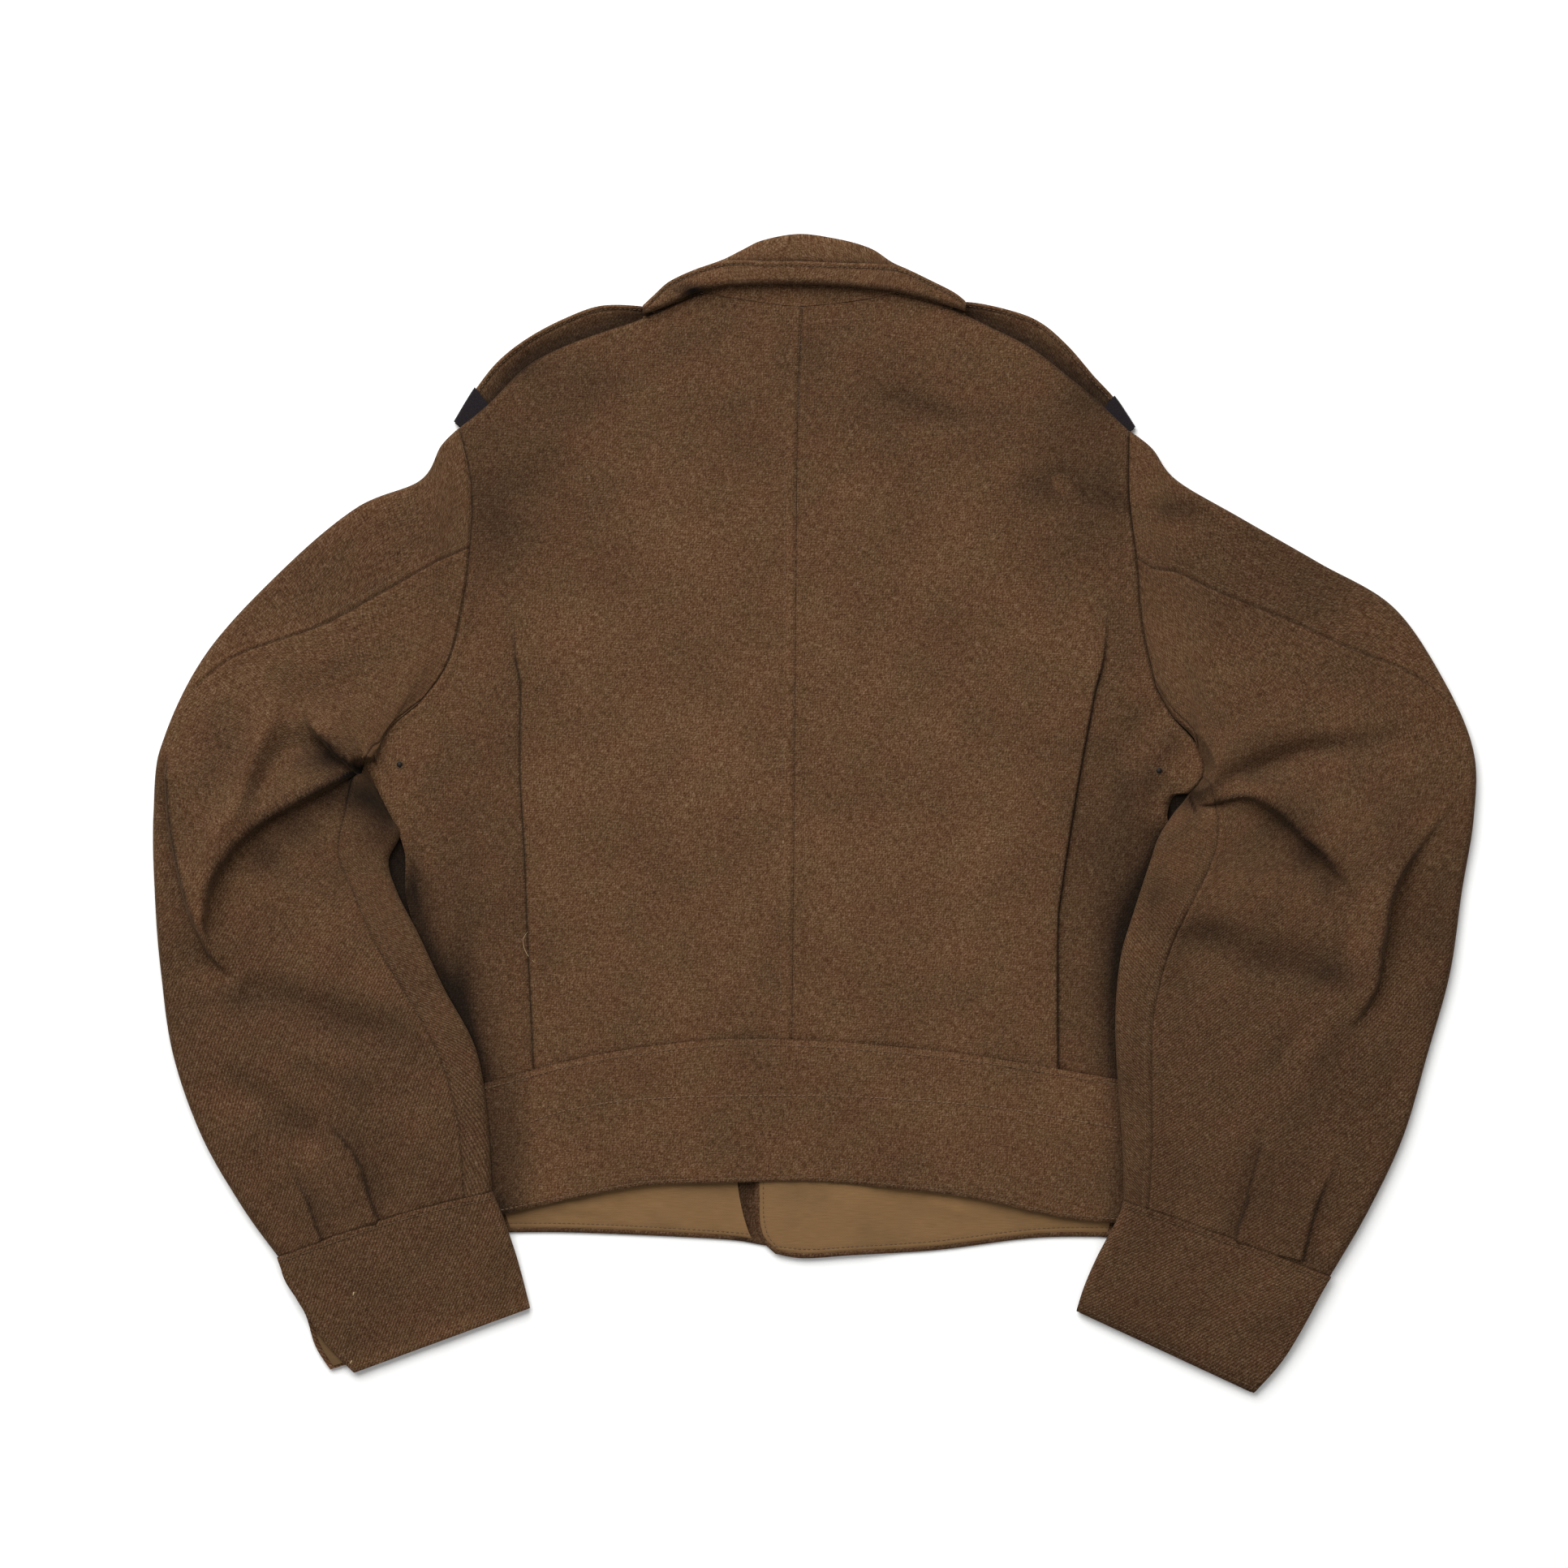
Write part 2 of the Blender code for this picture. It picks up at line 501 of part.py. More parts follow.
def back(side):
    hindarm, inseam, whole = [v[0] for v in seam_lengths(side, SLEEVE_ROWS)]
    panel = np.linspace(hindarm, inseam, UNDER_COLUMNS)[1:]
    lengths = np.concatenate([strip_lengths(hindarm)[[0, 2, 3, 4]], panel, [whole]])
    edge, run, tip, pit = body_edge(side, armhole_shares(side, lengths), SIDE, 6, 9)
    seam = np.asarray(CENTRE_SEAM[::-1], float)
    centre_y = np.interp(run, [0, tip, pit, run[-1]], [337, 262, 50, -149 + SEAM])
    centre_x = np.interp(centre_y, seam[:, 1], seam[:, 0]) - MIRROR[side] * SEAM / 2
    centre = np.stack([centre_x, centre_y], -1)
    width = np.linalg.norm(centre - edge, axis=1)
    fold = np.full(len(edge), 0.2)
    for _ in range(4):
        level = edge[:, 1] + fold * (centre[:, 1] - edge[:, 1])
        fold = (pleat_x(side, level) - edge[:, 0]) / (centre[:, 0] - edge[:, 0])
    fold = np.clip(fold, 0.12, 0.7)
    step = PLEAT_HALF / width
    shares = [0 * fold, np.minimum(8 / width, 0.3 * fold), 0.6 * fold, fold - step, fold + step]
    shares += [fold + (1 - fold) * part for part in (0.25, 0.5, 0.75, 1.0)]
    across = np.stack(shares, -1)

    def neck(w):
        x = edge[0, 0] * (1 - w) + centre[0, 0] * w
        return np.stack([x, along_x(NECK, x)], -1)

    def waist(w):
        x = edge[-1, 0] * (1 - w) + centre[-1, 0] * w
        return np.stack([x, along_x(BAND_SEAM, x) + SEAM + 0.4], -1)

    plan = patch(edge, centre, neck, waist, across)
    height = back_height(plan)
    roll = ease(pit, pit + 30, run) * (height[:, 0] - SERGE - 2.7) + ease(tip, tip - 25, run) * 0.5
    height[:, 0] -= roll
    height[:, 1] -= 0.25 * roll
    outer = lifted(plan, height)
    wall("back_" + side, outer, outer - [0, 0, SERGE], WOOL)


def front_base(side, points):
    # Underside of a front: flat, raised over the strap and the lap
    ridge, _ = beside(SHOULDER[side], points)
    beyond = -(points[..., 0] + 11) * MIRROR[side]
    lift = STRAP_LIFT * ease(95, 50, np.abs(ridge)) * ease(27, 49, beyond)
    if side == "right":
        lift = np.maximum(lift, (SERGE + SEAM) * ease(62, 26, points[..., 0]))
    return lift


def front(side):
    hindarm, _, whole = [v[0] for v in seam_lengths(side, SLEEVE_ROWS)]
    lengths = np.concatenate([[0], lower_lengths(hindarm, whole), [whole]])
    edge, run, tip, pit = body_edge(side, armhole_shares(side, lengths), FRONT_SIDE, 5, 9)
    middle = FRONT_LAP if side == "left" else FRONT_EDGE
    edge[-1] = (edge[-1][0], FRONT_WAIST + SEAM)
    level = np.interp(run, [0, tip, pit, run[-1]], [262, 225, 40, FRONT_WAIST + SEAM])
    centre = np.stack([np.full(len(run), float(middle)), level], -1)

    def neck(w):
        return share(FRONT_NECK[side], w)

    def waist(w):
        return edge[-1] * (1 - w[..., None]) + centre[-1] * w[..., None]

    plan = patch(edge, centre, neck, waist, np.linspace(0, 1, NECK_STEPS + 1)[None])
    lower = lifted(plan, front_base(side, plan))
    wall("front_" + side, lower, lower + [0, 0, SERGE], WOOL_DARK)


def waistband_back():
    across = np.linspace(0, 1, BAND_COLUMNS)
    down = np.linspace(0, 1, 5)
    left, right = share(BAND_END["left"], down), share(BAND_END["right"], down)
    plan = patch(left, right, lambda w: share(BAND_SEAM, w), lambda w: share(BAND_HEM, w), across[None])
    height = np.full(plan.shape[:2], BAND_TOP)
    height[:, (0, -1)] -= 2.2
    outer = lifted(plan, height)
    wall("waistband_back", outer, outer - [0, 0, DOUBLED], WOOL)


def front_band_plan(side, across, down):
    if side == "left":
        outer_end = np.array([[-216, FRONT_WAIST], [-213, -222], [-211, -250], [-201, -278]])
        inner_end = np.array([[FRONT_LAP, FRONT_WAIST], [FRONT_LAP, -290]])
        hem, inner = LEFT_FRONT_HEM, share(inner_end, down)
    else:
        outer_end = np.array([[196.5, FRONT_WAIST], [199, -222], [200, -250], [192, -281]])
        hem, inner = RIGHT_FRONT_HEM[::-1], share(RIGHT_FRONT_END, down)
    outer = share(outer_end, down)

    def seam(w):
        return outer[0] * (1 - w[..., None]) + inner[0] * w[..., None]

    def lower(w):
        start, end = down[-1], share(hem, w)
        lift = seam(w) * (1 - start) + end * start
        return lift

    return patch(outer, inner, seam, lower, across[None])


def front_band_base(side, plan):
    if side == "left":
        return np.zeros(plan.shape[:2])
    return (SERGE + SEAM) * ease(62, 24, plan[..., 0])


def waistband_front(side):
    across = np.concatenate([np.linspace(0, 0.7, 8), [0.78, 0.84, 0.9, 0.95, 1.0]])
    down = np.linspace(0, 1, 7)
    plan = front_band_plan(side, across, down)
    plan[0, :, 1] -= SEAM
    lower = lifted(plan, front_band_base(side, plan))
    wall("waistband_front_" + side, lower, lower + [0, 0, SERGE], WOOL_DARK)
    across[0] = 0.02
    if side == "left":
        across = np.append(across[:8], 0.725)
    else:
        across[-2:] = 0.95, 0.975
    cloth = front_band_plan(side, across, down)
    cloth[..., 1] += LINING_RIM * down[:, None] - 3 * (1 - down[:, None])
    base = lifted(cloth, front_band_base(side, cloth) + SERGE + SEAM)
    wall("waistband_lining_" + side, base, base + [0, 0, DRILL], TAN_DRILL)


def collar_back():
    # S-shaped sections: stand, roll at the top, fall, and the fall's edge turned up
    rows = through(COLLAR, np.linspace(0, len(COLLAR) - 1, 21))
    half = COLLAR_WALL / 2
    sides = {1: [], -1: []}
    for row in rows:
        section = CollarSection(*row)
        low = STAND_MIDDLE - section.drop
        roll = section.roll - half - COLLAR_BEND
        fold = section.fold + half + COLLAR_BEND
        neck = along_x(NECK, section.x) if NECK[0][0] < section.x < NECK[-1][0] else section.neck
        start = min(neck + SEAM, roll - 1)
        path = [(start, low, 0, 1), (roll, low, 0, 1)]
        for angle in (-45, 0, 45):
            c, s = np.cos(np.radians(angle)), np.sin(np.radians(angle))
            path.append((roll + COLLAR_BEND * c, low + COLLAR_BEND * (1 + s), -c, -s))
        path.append((max(roll, fold + 0.1), low + 2 * COLLAR_BEND, 0, -1))
        path.append((fold, low + 2 * COLLAR_BEND, 0, -1))
        for angle in (225, 180, 135):
            c, s = np.cos(np.radians(angle)), np.sin(np.radians(angle))
            path.append((fold + COLLAR_BEND * c, low + COLLAR_BEND * (3 + s), c, s))
        path.append((fold, low + 4 * COLLAR_BEND, 0, 1))
        path.append((max(section.edge, fold + 1.5), low + 4 * COLLAR_BEND, 0, 1))
        for way, grid in sides.items():
            grid.append([(section.x, y + way * half * ny, z + way * half * nz) for y, z, ny, nz in path])
    wall("collar_back", np.array(sides[1]), np.array(sides[-1]), WOOL)


def collar_front(side):
    along = np.arange(6) / NECK_STEPS
    neck = offset_curve(lambda a: share(FRONT_NECK[side], a), along, -0.4 * MIRROR[side])
    edge = share(LEAF_EDGE[side], np.linspace(0, 1, 6))
    across = np.linspace(0, 1, 3)[None, :, None]
    plan = neck[:, None] * (1 - across) + edge[:, None] * across
    lower = lifted(plan, 0.0)
    wall("collar_front_" + side, lower, lower + [0, 0, COLLAR_WALL], WOOL_DARK)


def strap_points(side, places):
    rows = through(STRAP[side], places)
    across = np.array(STRAP_SHARES)[None, :, None]
    plan = rows[:, None, 2:] * (1 - across) + rows[:, None, :2] * across
    stand = np.array(STRAP_RISES)[None] * ease(5.0, 3.4, places)[:, None]
    return lifted(plan, stand + SLIDE_WALL + SEAM)


def strap(side):
    lower = strap_points(side, np.linspace(0, 6, 13))
    wall("shoulder_strap_" + side, lower, lower + [0, 0, DOUBLED], WOOL)
    lower = strap_points(side, np.linspace(SLIDE_FROM, SLIDE_TO, 3))
    upper = lower + [0, 0, DOUBLED]
    reach = (lower[:, -1] - lower[:, 0]) * [1, 1, 0]
    reach = reach / np.linalg.norm(reach, axis=1, keepdims=True)
    loops = []
    for gap in (SEAM + SLIDE_WALL, SEAM):
        low, high = lower - [0, 0, gap], upper + [0, 0, gap]
        for band in (low, high):
            band[:, 0] -= reach * gap
            band[:, -1] += reach * gap
        loops.append(np.concatenate([low, high[:, ::-1]], 1))
    ring_wall("strap_slide_" + side, loops[0], loops[1], BLACK_CLOTH)


def cuff(side):
    rows = share(CUFF[side], np.linspace(0, 1, 6))
    section = CuffSection(*[rows[:, i] for i in range(rows.shape[1])])
    inner = np.stack([section.inner_x, section.inner_y], -1)
    bow = np.array([0.3 * MIRROR[side], 1.0]) * CUFF_BOW[side]
    fade = np.linspace(1, 0, 6)[:, None, None] ** 1.5

    def layer(x, y, shares, back_off):
        outer = np.stack([x, y], -1)
        width = np.linalg.norm(inner - outer, axis=1)[:, None]
        w = (shares * (width - CUFF_ROUND) + back_off) / width
        plan = outer[:, None] * (1 - w[..., None]) + inner[:, None] * w[..., None]
        return plan + bow * fade * np.sin(np.pi * np.clip(w, 0, 1))[..., None]

    flat = np.linspace(0, 1, 8)[None]
    skins = []
    for depth in (0, DOUBLED):
        crown = CUFF_TOP / 2 - depth
        parts = [lifted(layer(section.outer_x, section.outer_y, flat, 0.0), CUFF_TOP - depth)]
        for angle in (45, 0, -45):
            turn = np.radians(angle)
            past = (CUFF_ROUND - depth) * np.cos(turn)
            plan = layer(section.outer_x, section.outer_y, np.ones((1, 1)), past)
            parts.append(lifted(plan, CUFF_TOP / 2 + crown * np.sin(turn)))
        lower = layer(section.lower_x, section.lower_y, flat[:, ::-1], 0.0)
        parts.append(lifted(lower, float(depth)))
        skins.append(np.concatenate(parts, 1))
    wall("cuff_" + side, skins[0], skins[1], WOOL_DARK)
    if side == "left":
        shares = np.linspace(0.025, 0.95, 7)[None]
        cloth = layer(section.lower_x, section.lower_y, shares, 0.0)
        cloth = share(cloth.reshape(6, -1), np.linspace(0.04, 0.96, 6)).reshape(6, 7, 2)
        base = lifted(cloth, DOUBLED + SEAM)
        wall("cuff_lining_left", base, base + [0, 0, DRILL], TAN_DRILL)


waistband_back()
collar_back()
for hand in ("left", "right"):
    back(hand)
    front(hand)
    waistband_front(hand)
    collar_front(hand)
    strap(hand)
    sleeve(hand)
    cuff(hand)
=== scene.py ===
# Battle dress jacket laid flat with its back up: cloth shells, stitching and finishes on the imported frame
import math
from collections import namedtuple

import bmesh
import bpy
import numpy as np
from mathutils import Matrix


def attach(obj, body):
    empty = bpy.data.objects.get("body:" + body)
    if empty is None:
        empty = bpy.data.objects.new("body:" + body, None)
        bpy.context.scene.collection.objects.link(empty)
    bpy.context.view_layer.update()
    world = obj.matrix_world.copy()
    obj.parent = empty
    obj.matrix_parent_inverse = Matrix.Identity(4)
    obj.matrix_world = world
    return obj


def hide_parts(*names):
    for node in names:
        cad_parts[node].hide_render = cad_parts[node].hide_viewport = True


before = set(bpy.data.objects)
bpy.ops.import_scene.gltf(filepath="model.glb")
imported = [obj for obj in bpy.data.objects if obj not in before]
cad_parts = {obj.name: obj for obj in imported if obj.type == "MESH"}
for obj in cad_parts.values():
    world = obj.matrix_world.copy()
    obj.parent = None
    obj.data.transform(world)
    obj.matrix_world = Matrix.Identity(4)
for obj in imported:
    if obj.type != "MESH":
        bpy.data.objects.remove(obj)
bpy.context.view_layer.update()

# All tables are in millimetres, +X to the wearer's right, +Y from hem to collar, +Z up from the floor
mm = 0.001
middle = np.array([-0.9, 0.25, 0.0])   # middle of the outline, which is the frame's origin
flip = {"left": 1, "right": -1}

cloth = {"serge": 2.0, "doubled": 3.0, "collar": 2.6, "drill": 0.9, "slide": 0.8, "seam": 0.3}
foldRound, foldTurn, cuffRound = 7.0, 9.0, 5.0   # a sleeve fold's radius and cloth length, a cuff's radius
backTop, yokeRise, bandTop, cuffTop = 8.0, 2.2, 9.0, 9.0   # heights of the upper faces
leastTop, mostTop = 5.6, 33.0   # limits of a sleeve's height

Section = namedtuple("Section", "outerX outerY innerX innerY hindarm inseam loft")
CollarSection = namedtuple("CollarSection", "x neck roll fold edge drop")
Ridge = namedtuple("Ridge", "rise spread fadeIn fadeOut path")
Lap = namedtuple("Lap", "rise spread soft over fadeIn fadeOut path")

# Sleeve sections from armhole to cuff: folded edges, seam places as shares of the width, height
sleeveTable = {
    "left": (
        (-237, 257, -265.6, 72.6, 0.405, 0.955, 10.0),
        (-249, 245, -275.2, 64.4, 0.385, 0.955, 11.0),
        (-263, 222, -285.1, 55.1, 0.330, 0.955, 12.0),
        (-305, 204, -290, 43, 0.345, 0.950, 13.0),
        (-354, 163, -291, 32, 0.280, 0.88, 14.0),
        (-405, 107, -281, 9, 0.080, 0.76, 15.0),
        (-434, 48, -276, -12, 0.0, 0.74, 15.0),
        (-440, 0, -284, -31, 0.0, 0.77, 14.0),
        (-439, -52, -278, -52, 0.0, 0.81, 13.0),
        (-435, -106, -264, -79, 0.0, 0.82, 13.0),
        (-427, -160, -247, -115, 0.0, 0.86, 13.0),
        (-408, -214, -226, -155, 0.0, 0.87, 12.0),
        (-381, -261, -218, -200, 0.0, 0.88, 11.0),
        (-358, -293, -215, -249, 0.0, 0.87, cuffTop),
    ),
    "right": (
        (209, 256, 227.1, 84, 0.495, 0.955, 10.0),
        (224, 244, 238, 65, 0.450, 0.955, 11.0),
        (240, 223, 253, 48, 0.355, 0.955, 12.0),
        (282, 198, 252, 28, 0.300, 0.955, 13.0),
        (334, 168, 247, 12, 0.240, 0.90, 14.0),
        (384, 138, 238, 1, 0.200, 0.84, 15.0),
        (418, 88, 228, -14, 0.045, 0.80, 15.0),
        (437, 42, 222.5, -29, 0.0, 0.79, 15.0),
        (437, -2, 217.5, -44, 0.0, 0.80, 14.0),
        (429, -52, 211, -64, 0.0, 0.83, 13.0),
        (421, -106, 202, -95, 0.0, 0.86, 13.0),
        (406, -160, 198.5, -135, 0.0, 0.88, 13.0),
        (390, -214, 200, -176, 0.0, 0.88, 12.0),
        (367, -263, 203, -218, 0.0, 0.88, 11.0),
        (342, -306, 204, -255, 0.0, 0.88, cuffTop),
    ),
}
armhole = {
    "left": ((-237, 257), (-229, 218), (-230, 178), (-235, 138), (-245, 100), (-265, 72)),
    "right": ((208, 255), (208, 212), (213, 169), (217, 125), (226, 84)),
}
eyeletAt = {"left": (-276, 33), "right": (228, 29)}   # small worked holes below the armpits
overlap = {"left": (-24, -56), "right": (2, -16)}   # where the body goes from over the sleeve to under it
sewnDown = {"left": (46, 34), "right": (84, 62)}   # where the sleeve, sewn level above, starts to run under
pinchAt = {"left": (-303, 33), "right": (240.5, 8)}   # deepest points of the armpits
armpit = {
    "left": ((-265, 72), (-284, 57.5), (-303, 41)),
    "right": ((226, 84), (237, 65), (252, 48), (258, 32), (255, 22), (247, 14)),
}
shoulder = {
    "left": ((-77, 346), (-111, 332), (-138, 323), (-165, 313), (-192, 299), (-216, 275), (-237, 257)),
    "right": ((55, 346), (94, 335), (116, 325), (143, 311), (170, 290), (189, 274), (208, 255)),
}
backSide = {
    "left": ((-303, 41), (-290, 13), (-277, -14), (-269, -42), (-260.5, -74), (-250, -100),
             (-236, -130), (-222.5, -157), (-215.5, -180)),
    "right": ((247, 14), (239, 13), (235, 7), (233, 0), (228, -16), (216, -44), (204, -76), (197, -110),
              (195, -140), (197.5, -177)),
}
frontSide = {
    "left": ((-303, 41), (-290, 13), (-278.5, -10), (-281, -31), (-275, -52), (-261, -79),
             (-244, -115), (-223, -155), (-215.5, -180)),
    "right": ((247, 14), (239, 8), (236, 1), (229, -14), (216, -44), (204, -76), (198, -110),
              (195.5, -140), (197.5, -177)),
}
bandEnd = {
    "left": ((-215.5, -180), (-213.5, -220), (-212, -249), (-205, -267)),
    "right": ((197.5, -177), (200, -203), (201, -230), (201, -252), (196, -272)),
}
neckLine = ((-77, 346), (-46, 341), (-11, 337), (29, 341), (55, 346))
centreSeam = ((-9, 337), (-12, 272), (-13, 200), (-14, 60), (-16, -149))
bandSeam = ((-215.5, -180), (-165, -164), (-111, -154), (-57, -149), (-3, -150), (51, -154),
            (105, -160), (159, -169), (197.5, -177))
bandHem = ((-205, -267), (-165, -256), (-111, -246), (-57, -244), (-3, -243), (51, -248),
           (105, -255), (159, -267), (196, -272))
frontNeck = {
    "left": ((-77, 346), (-66, 312), (-45, 284), (-16, 266), (12, 262)),
    "right": ((55, 346), (48, 312), (29, 284), (0, 266), (-34, 262)),
}


# Curves and distances

pathSteps = 14   # straight steps for each point of a path
blockSize = 6000   # points measured at once
curveSteps = {"seam": 300, "edge": 400, "even": 600}   # samples along a whole curve
curveNudge = 0.01   # half of the step that gives a curve its direction
leastFade = 0.001
wavePaces = 0.6, 1.5   # slowest and quickest wave of an uneven face, against its size
lip = {"at": 1.2, "width": 2.2}   # where a lap leans most, in its own softness
creaseLine, creaseHollow = (0.30, -0.8, 1.5), (0.22, 11)   # shade under a lap's lip and before it


def through(table, at):
    rows = np.asarray(table, float)
    last = len(rows) - 1
    at = np.clip(np.asarray(at, float), 0, last)
    first = np.minimum(at.astype(int), last - 1)
    part = (at - first)[..., None]
    before, start = rows[np.maximum(first - 1, 0)], rows[first]
    end, after = rows[first + 1], rows[np.minimum(first + 2, last)]
    leave, arrive = (end - before) / 2, (after - start) / 2
    left = start * (1 + 2 * part) + leave * part
    right = end * (3 - 2 * part) - arrive * (1 - part)
    return left * (1 - part) ** 2 + right * part ** 2


def share(table, along):
    return through(table, np.asarray(along, float) * (len(table) - 1))


def ease(low, high, value):
    part = np.clip((np.asarray(value, float) - low) / (high - low), 0, 1)
    return part * part * (3 - 2 * part)


def crowded(count, ends=0.3):
    # shares from 0 to 1 that lie closer together near both ends
    t = np.linspace(0, 1, count)
    return t - (1 - ends) * np.sin(2 * np.pi * t) / (2 * np.pi)


def bell(value, width):
    return np.exp(-(value / width) ** 2)


def profile(run, rows):
    # swells and grooves across a seam: amount, distance from the edge, half width
    return sum(amount * bell(run - at, width) for amount, at, width in rows)


def shadow(run, amount, reach, fade):
    # full as far as the reach, then dying away
    return amount * np.exp(-np.maximum(run - reach, 0) / fade)


def rolledDown(run, reach):
    # 1 at an edge, 0 from the reach on, as round as a quarter of a circle
    return 1 - np.sin(np.clip(run / reach, 0, 1) * np.pi / 2)


def fromPoint(points, place):
    return np.hypot(points[..., 0] - place[0], points[..., 1] - place[1])


def runLength(line):
    return np.concatenate([[0], np.cumsum(np.linalg.norm(np.diff(line, axis=0), axis=1))])


def beside(path, points):
    # signed distance from a path, positive on its left, the share along it and its left normal
    line = share(path, np.linspace(0, 1, pathSteps * len(path)))
    step = np.diff(line, axis=0)
    normal = np.stack([-step[:, 1], step[:, 0]], -1) / np.linalg.norm(step, axis=1)[:, None]
    shape = np.shape(points)[:-1]
    off, along, side = [], [], []
    blocks = max(1, math.prod(shape) // blockSize)
    for block in np.array_split(np.asarray(points, float).reshape(-1, 1, 2), blocks):
        flat = block - line[:-1]
        part = np.clip((flat * step).sum(-1) / (step ** 2).sum(-1), 0, 1)
        miss = flat - part[..., None] * step
        gap = np.hypot(miss[..., 0], miss[..., 1])
        near = gap.argmin(1)
        pick = (np.arange(len(near)), near)
        turn = step[near, 0] * miss[pick][:, 1] - step[near, 1] * miss[pick][:, 0]
        off.append(gap[pick] * np.sign(turn))
        along.append((near + part[pick]) / len(step))
        side.append(normal[near])
    return (np.concatenate(off).reshape(shape), np.concatenate(along).reshape(shape),
            np.concatenate(side).reshape(shape + (2,)))


def foldShape(fold, points):
    # height that a fold adds, how far it leans over its low side, and how much painted shade lies in its
    # crease
    off, along, side = beside(fold.path, points)
    fade = ease(0, max(fold.fadeIn, leastFade), along) * ease(0, max(fold.fadeOut, leastFade), 1 - along)
    if isinstance(fold, Ridge):
        return fold.rise * fade * bell(off, fold.spread), np.zeros(np.shape(points)), 0.0 * fade
    over = 0.5 * (1 + np.tanh(off / fold.soft))
    rise = fold.rise * fade * over * np.exp(-np.maximum(off, 0) / fold.spread)
    lean = -fold.over * fade * bell(off - lip["at"] * fold.soft, lip["width"] * fold.soft)
    amount, width = creaseHollow
    crease = fade * (profile(off, (creaseLine,)) + amount * bell(np.minimum(off, 0), width) * (off < 0))
    return rise, lean[..., None] * side, crease


def creaseShade(folds, points):
    return sum(foldShape(fold, points)[2] for fold in folds)


def lumps(points, size, seed, waves=9):
    # smooth seeded unevenness of about the given size
    draw = np.random.RandomState(seed)
    angle = draw.uniform(0, 2 * np.pi, waves)
    pace = 2 * np.pi / size * draw.uniform(*wavePaces, waves)
    phase = draw.uniform(0, 2 * np.pi, waves)
    x, y = points[..., 0, None], points[..., 1, None]
    return np.sin(pace * (x * np.cos(angle) + y * np.sin(angle)) + phase).sum(-1) / math.sqrt(waves)


def uneven(points, rows):
    # several layers of unevenness: amount, size and seed of each
    return sum(amount * lumps(points, size, seed) for amount, size, seed in rows)


def offsetCurve(curve, along, gap):
    ahead = curve(np.minimum(along + curveNudge, 1)) - curve(np.maximum(along - curveNudge, 0))
    normal = np.stack([ahead[..., 1], -ahead[..., 0]], -1)
    return curve(along) + gap * normal / np.linalg.norm(normal, axis=-1, keepdims=True)


def patch(left, right, near, far, across, parts=None):
    part = (np.linspace(0, 1, len(left)) if parts is None else parts)[:, None, None]
    across = np.broadcast_to(across, (len(left), np.shape(across)[-1]))
    w = across[..., None]
    rows = left[:, None] * (1 - w) + right[:, None] * w
    first = near(across) - (left[0] * (1 - w) + right[0] * w)
    final = far(across) - (left[-1] * (1 - w) + right[-1] * w)
    return rows + (1 - part) ** 2 * first + part ** 2 * final


def lifted(plan, height):
    return np.concatenate([plan, np.broadcast_to(height, plan.shape[:-1])[..., None]], -1)


def blend(first, last, w):
    return first * (1 - w[..., None]) + last * w[..., None]


def alongX(table, x):
    rows = share(table, np.linspace(0, 1, curveSteps["edge"]))
    return np.interp(x, rows[:, 0], rows[:, 1])


def evenSteps(table, pitch):
    # points of a curve at an even pitch
    line = share(table, np.linspace(0, 1, curveSteps["even"]))
    run = runLength(line)
    at = np.linspace(0, run[-1], max(2, int(round(run[-1] / pitch)) + 1))
    return np.stack([np.interp(at, run, line[:, i]) for i in range(line.shape[1])], -1)


# Distances over a grid of points and what is pressed or sewn along them

def fromEdge(grid, edge):
    # length over the cloth from one edge of a grid
    axis = 0 if edge in ("first", "last") else 1
    steps = np.linalg.norm(np.diff(grid, axis=axis), axis=-1)
    pad = np.zeros_like(np.take(steps, [0], axis))
    run = np.concatenate([pad, np.cumsum(steps, axis)], axis)
    return run if edge in ("first", "near") else np.take(run, [-1], axis) - run


def insetLine(grid, edge, distance, start=0.0, end=1.0):
    # the line over a grid at one distance from an edge
    run = fromEdge(grid, edge)
    if edge in ("first", "last"):
        run, grid = run.T, grid.transpose(1, 0, 2)
    if edge in ("last", "far"):
        run, grid = run[:, ::-1], grid[:, ::-1]
    low, high = int(start * (len(grid) - 1)), int(end * (len(grid) - 1)) + 1
    rows = range(low, high)
    return np.array([[np.interp(distance, run[i], grid[i, :, k]) for k in range(3)] for i in rows])


def press(grid, rows, only=1.0):
    # grooves along the edges of a grid, one after the other: edge, depth, distance, half width
    for edge, depth, at, width in rows:
        grid[..., 2] -= only * depth * bell(fromEdge(grid, edge) - at, width)


def pucker(grid, rows):
    # the small ripples that sewing draws into the cloth beside a seam: edge, depth, reach, pitch, seed
    for edge, depth, reach, pitch, seed in rows:
        run = fromEdge(grid, edge)
        grid[..., 2] += depth * lumps(grid[..., :2], pitch, seed) * np.exp(-run / reach)


def tucked(grid, length, sink, upper=True):
    # one more row at the end of a grid, turned down under the piece sewn over it
    ahead = grid[-1] - grid[-3]
    ahead = ahead / np.linalg.norm(ahead, axis=1, keepdims=True)
    more = grid[-1] + ahead * [length, length, 0] - np.where(upper, sink, 0)[..., None] * [0, 0, 1]
    return np.concatenate([grid, more[None]])


def patches(points, table):
    # soft areas of painted shade and painted light, and where the cloth has darkened or faded: middle, half
    # sizes and amount
    total = np.zeros(points.shape[:-1])
    for x, y, wide, tall, amount in table:
        total += amount * np.exp(-((points[..., 0] - x) / wide) ** 2 - ((points[..., 1] - y) / tall) ** 2)
    return total


# Meshes

made = {}      # every finished piece by name
grids = {}     # upper faces kept for stitching
sharpFrom = 1.0   # radians between faces that share no shading
bodyRib = 0.35   # how far the rib shows on the body, where the wool is most brushed


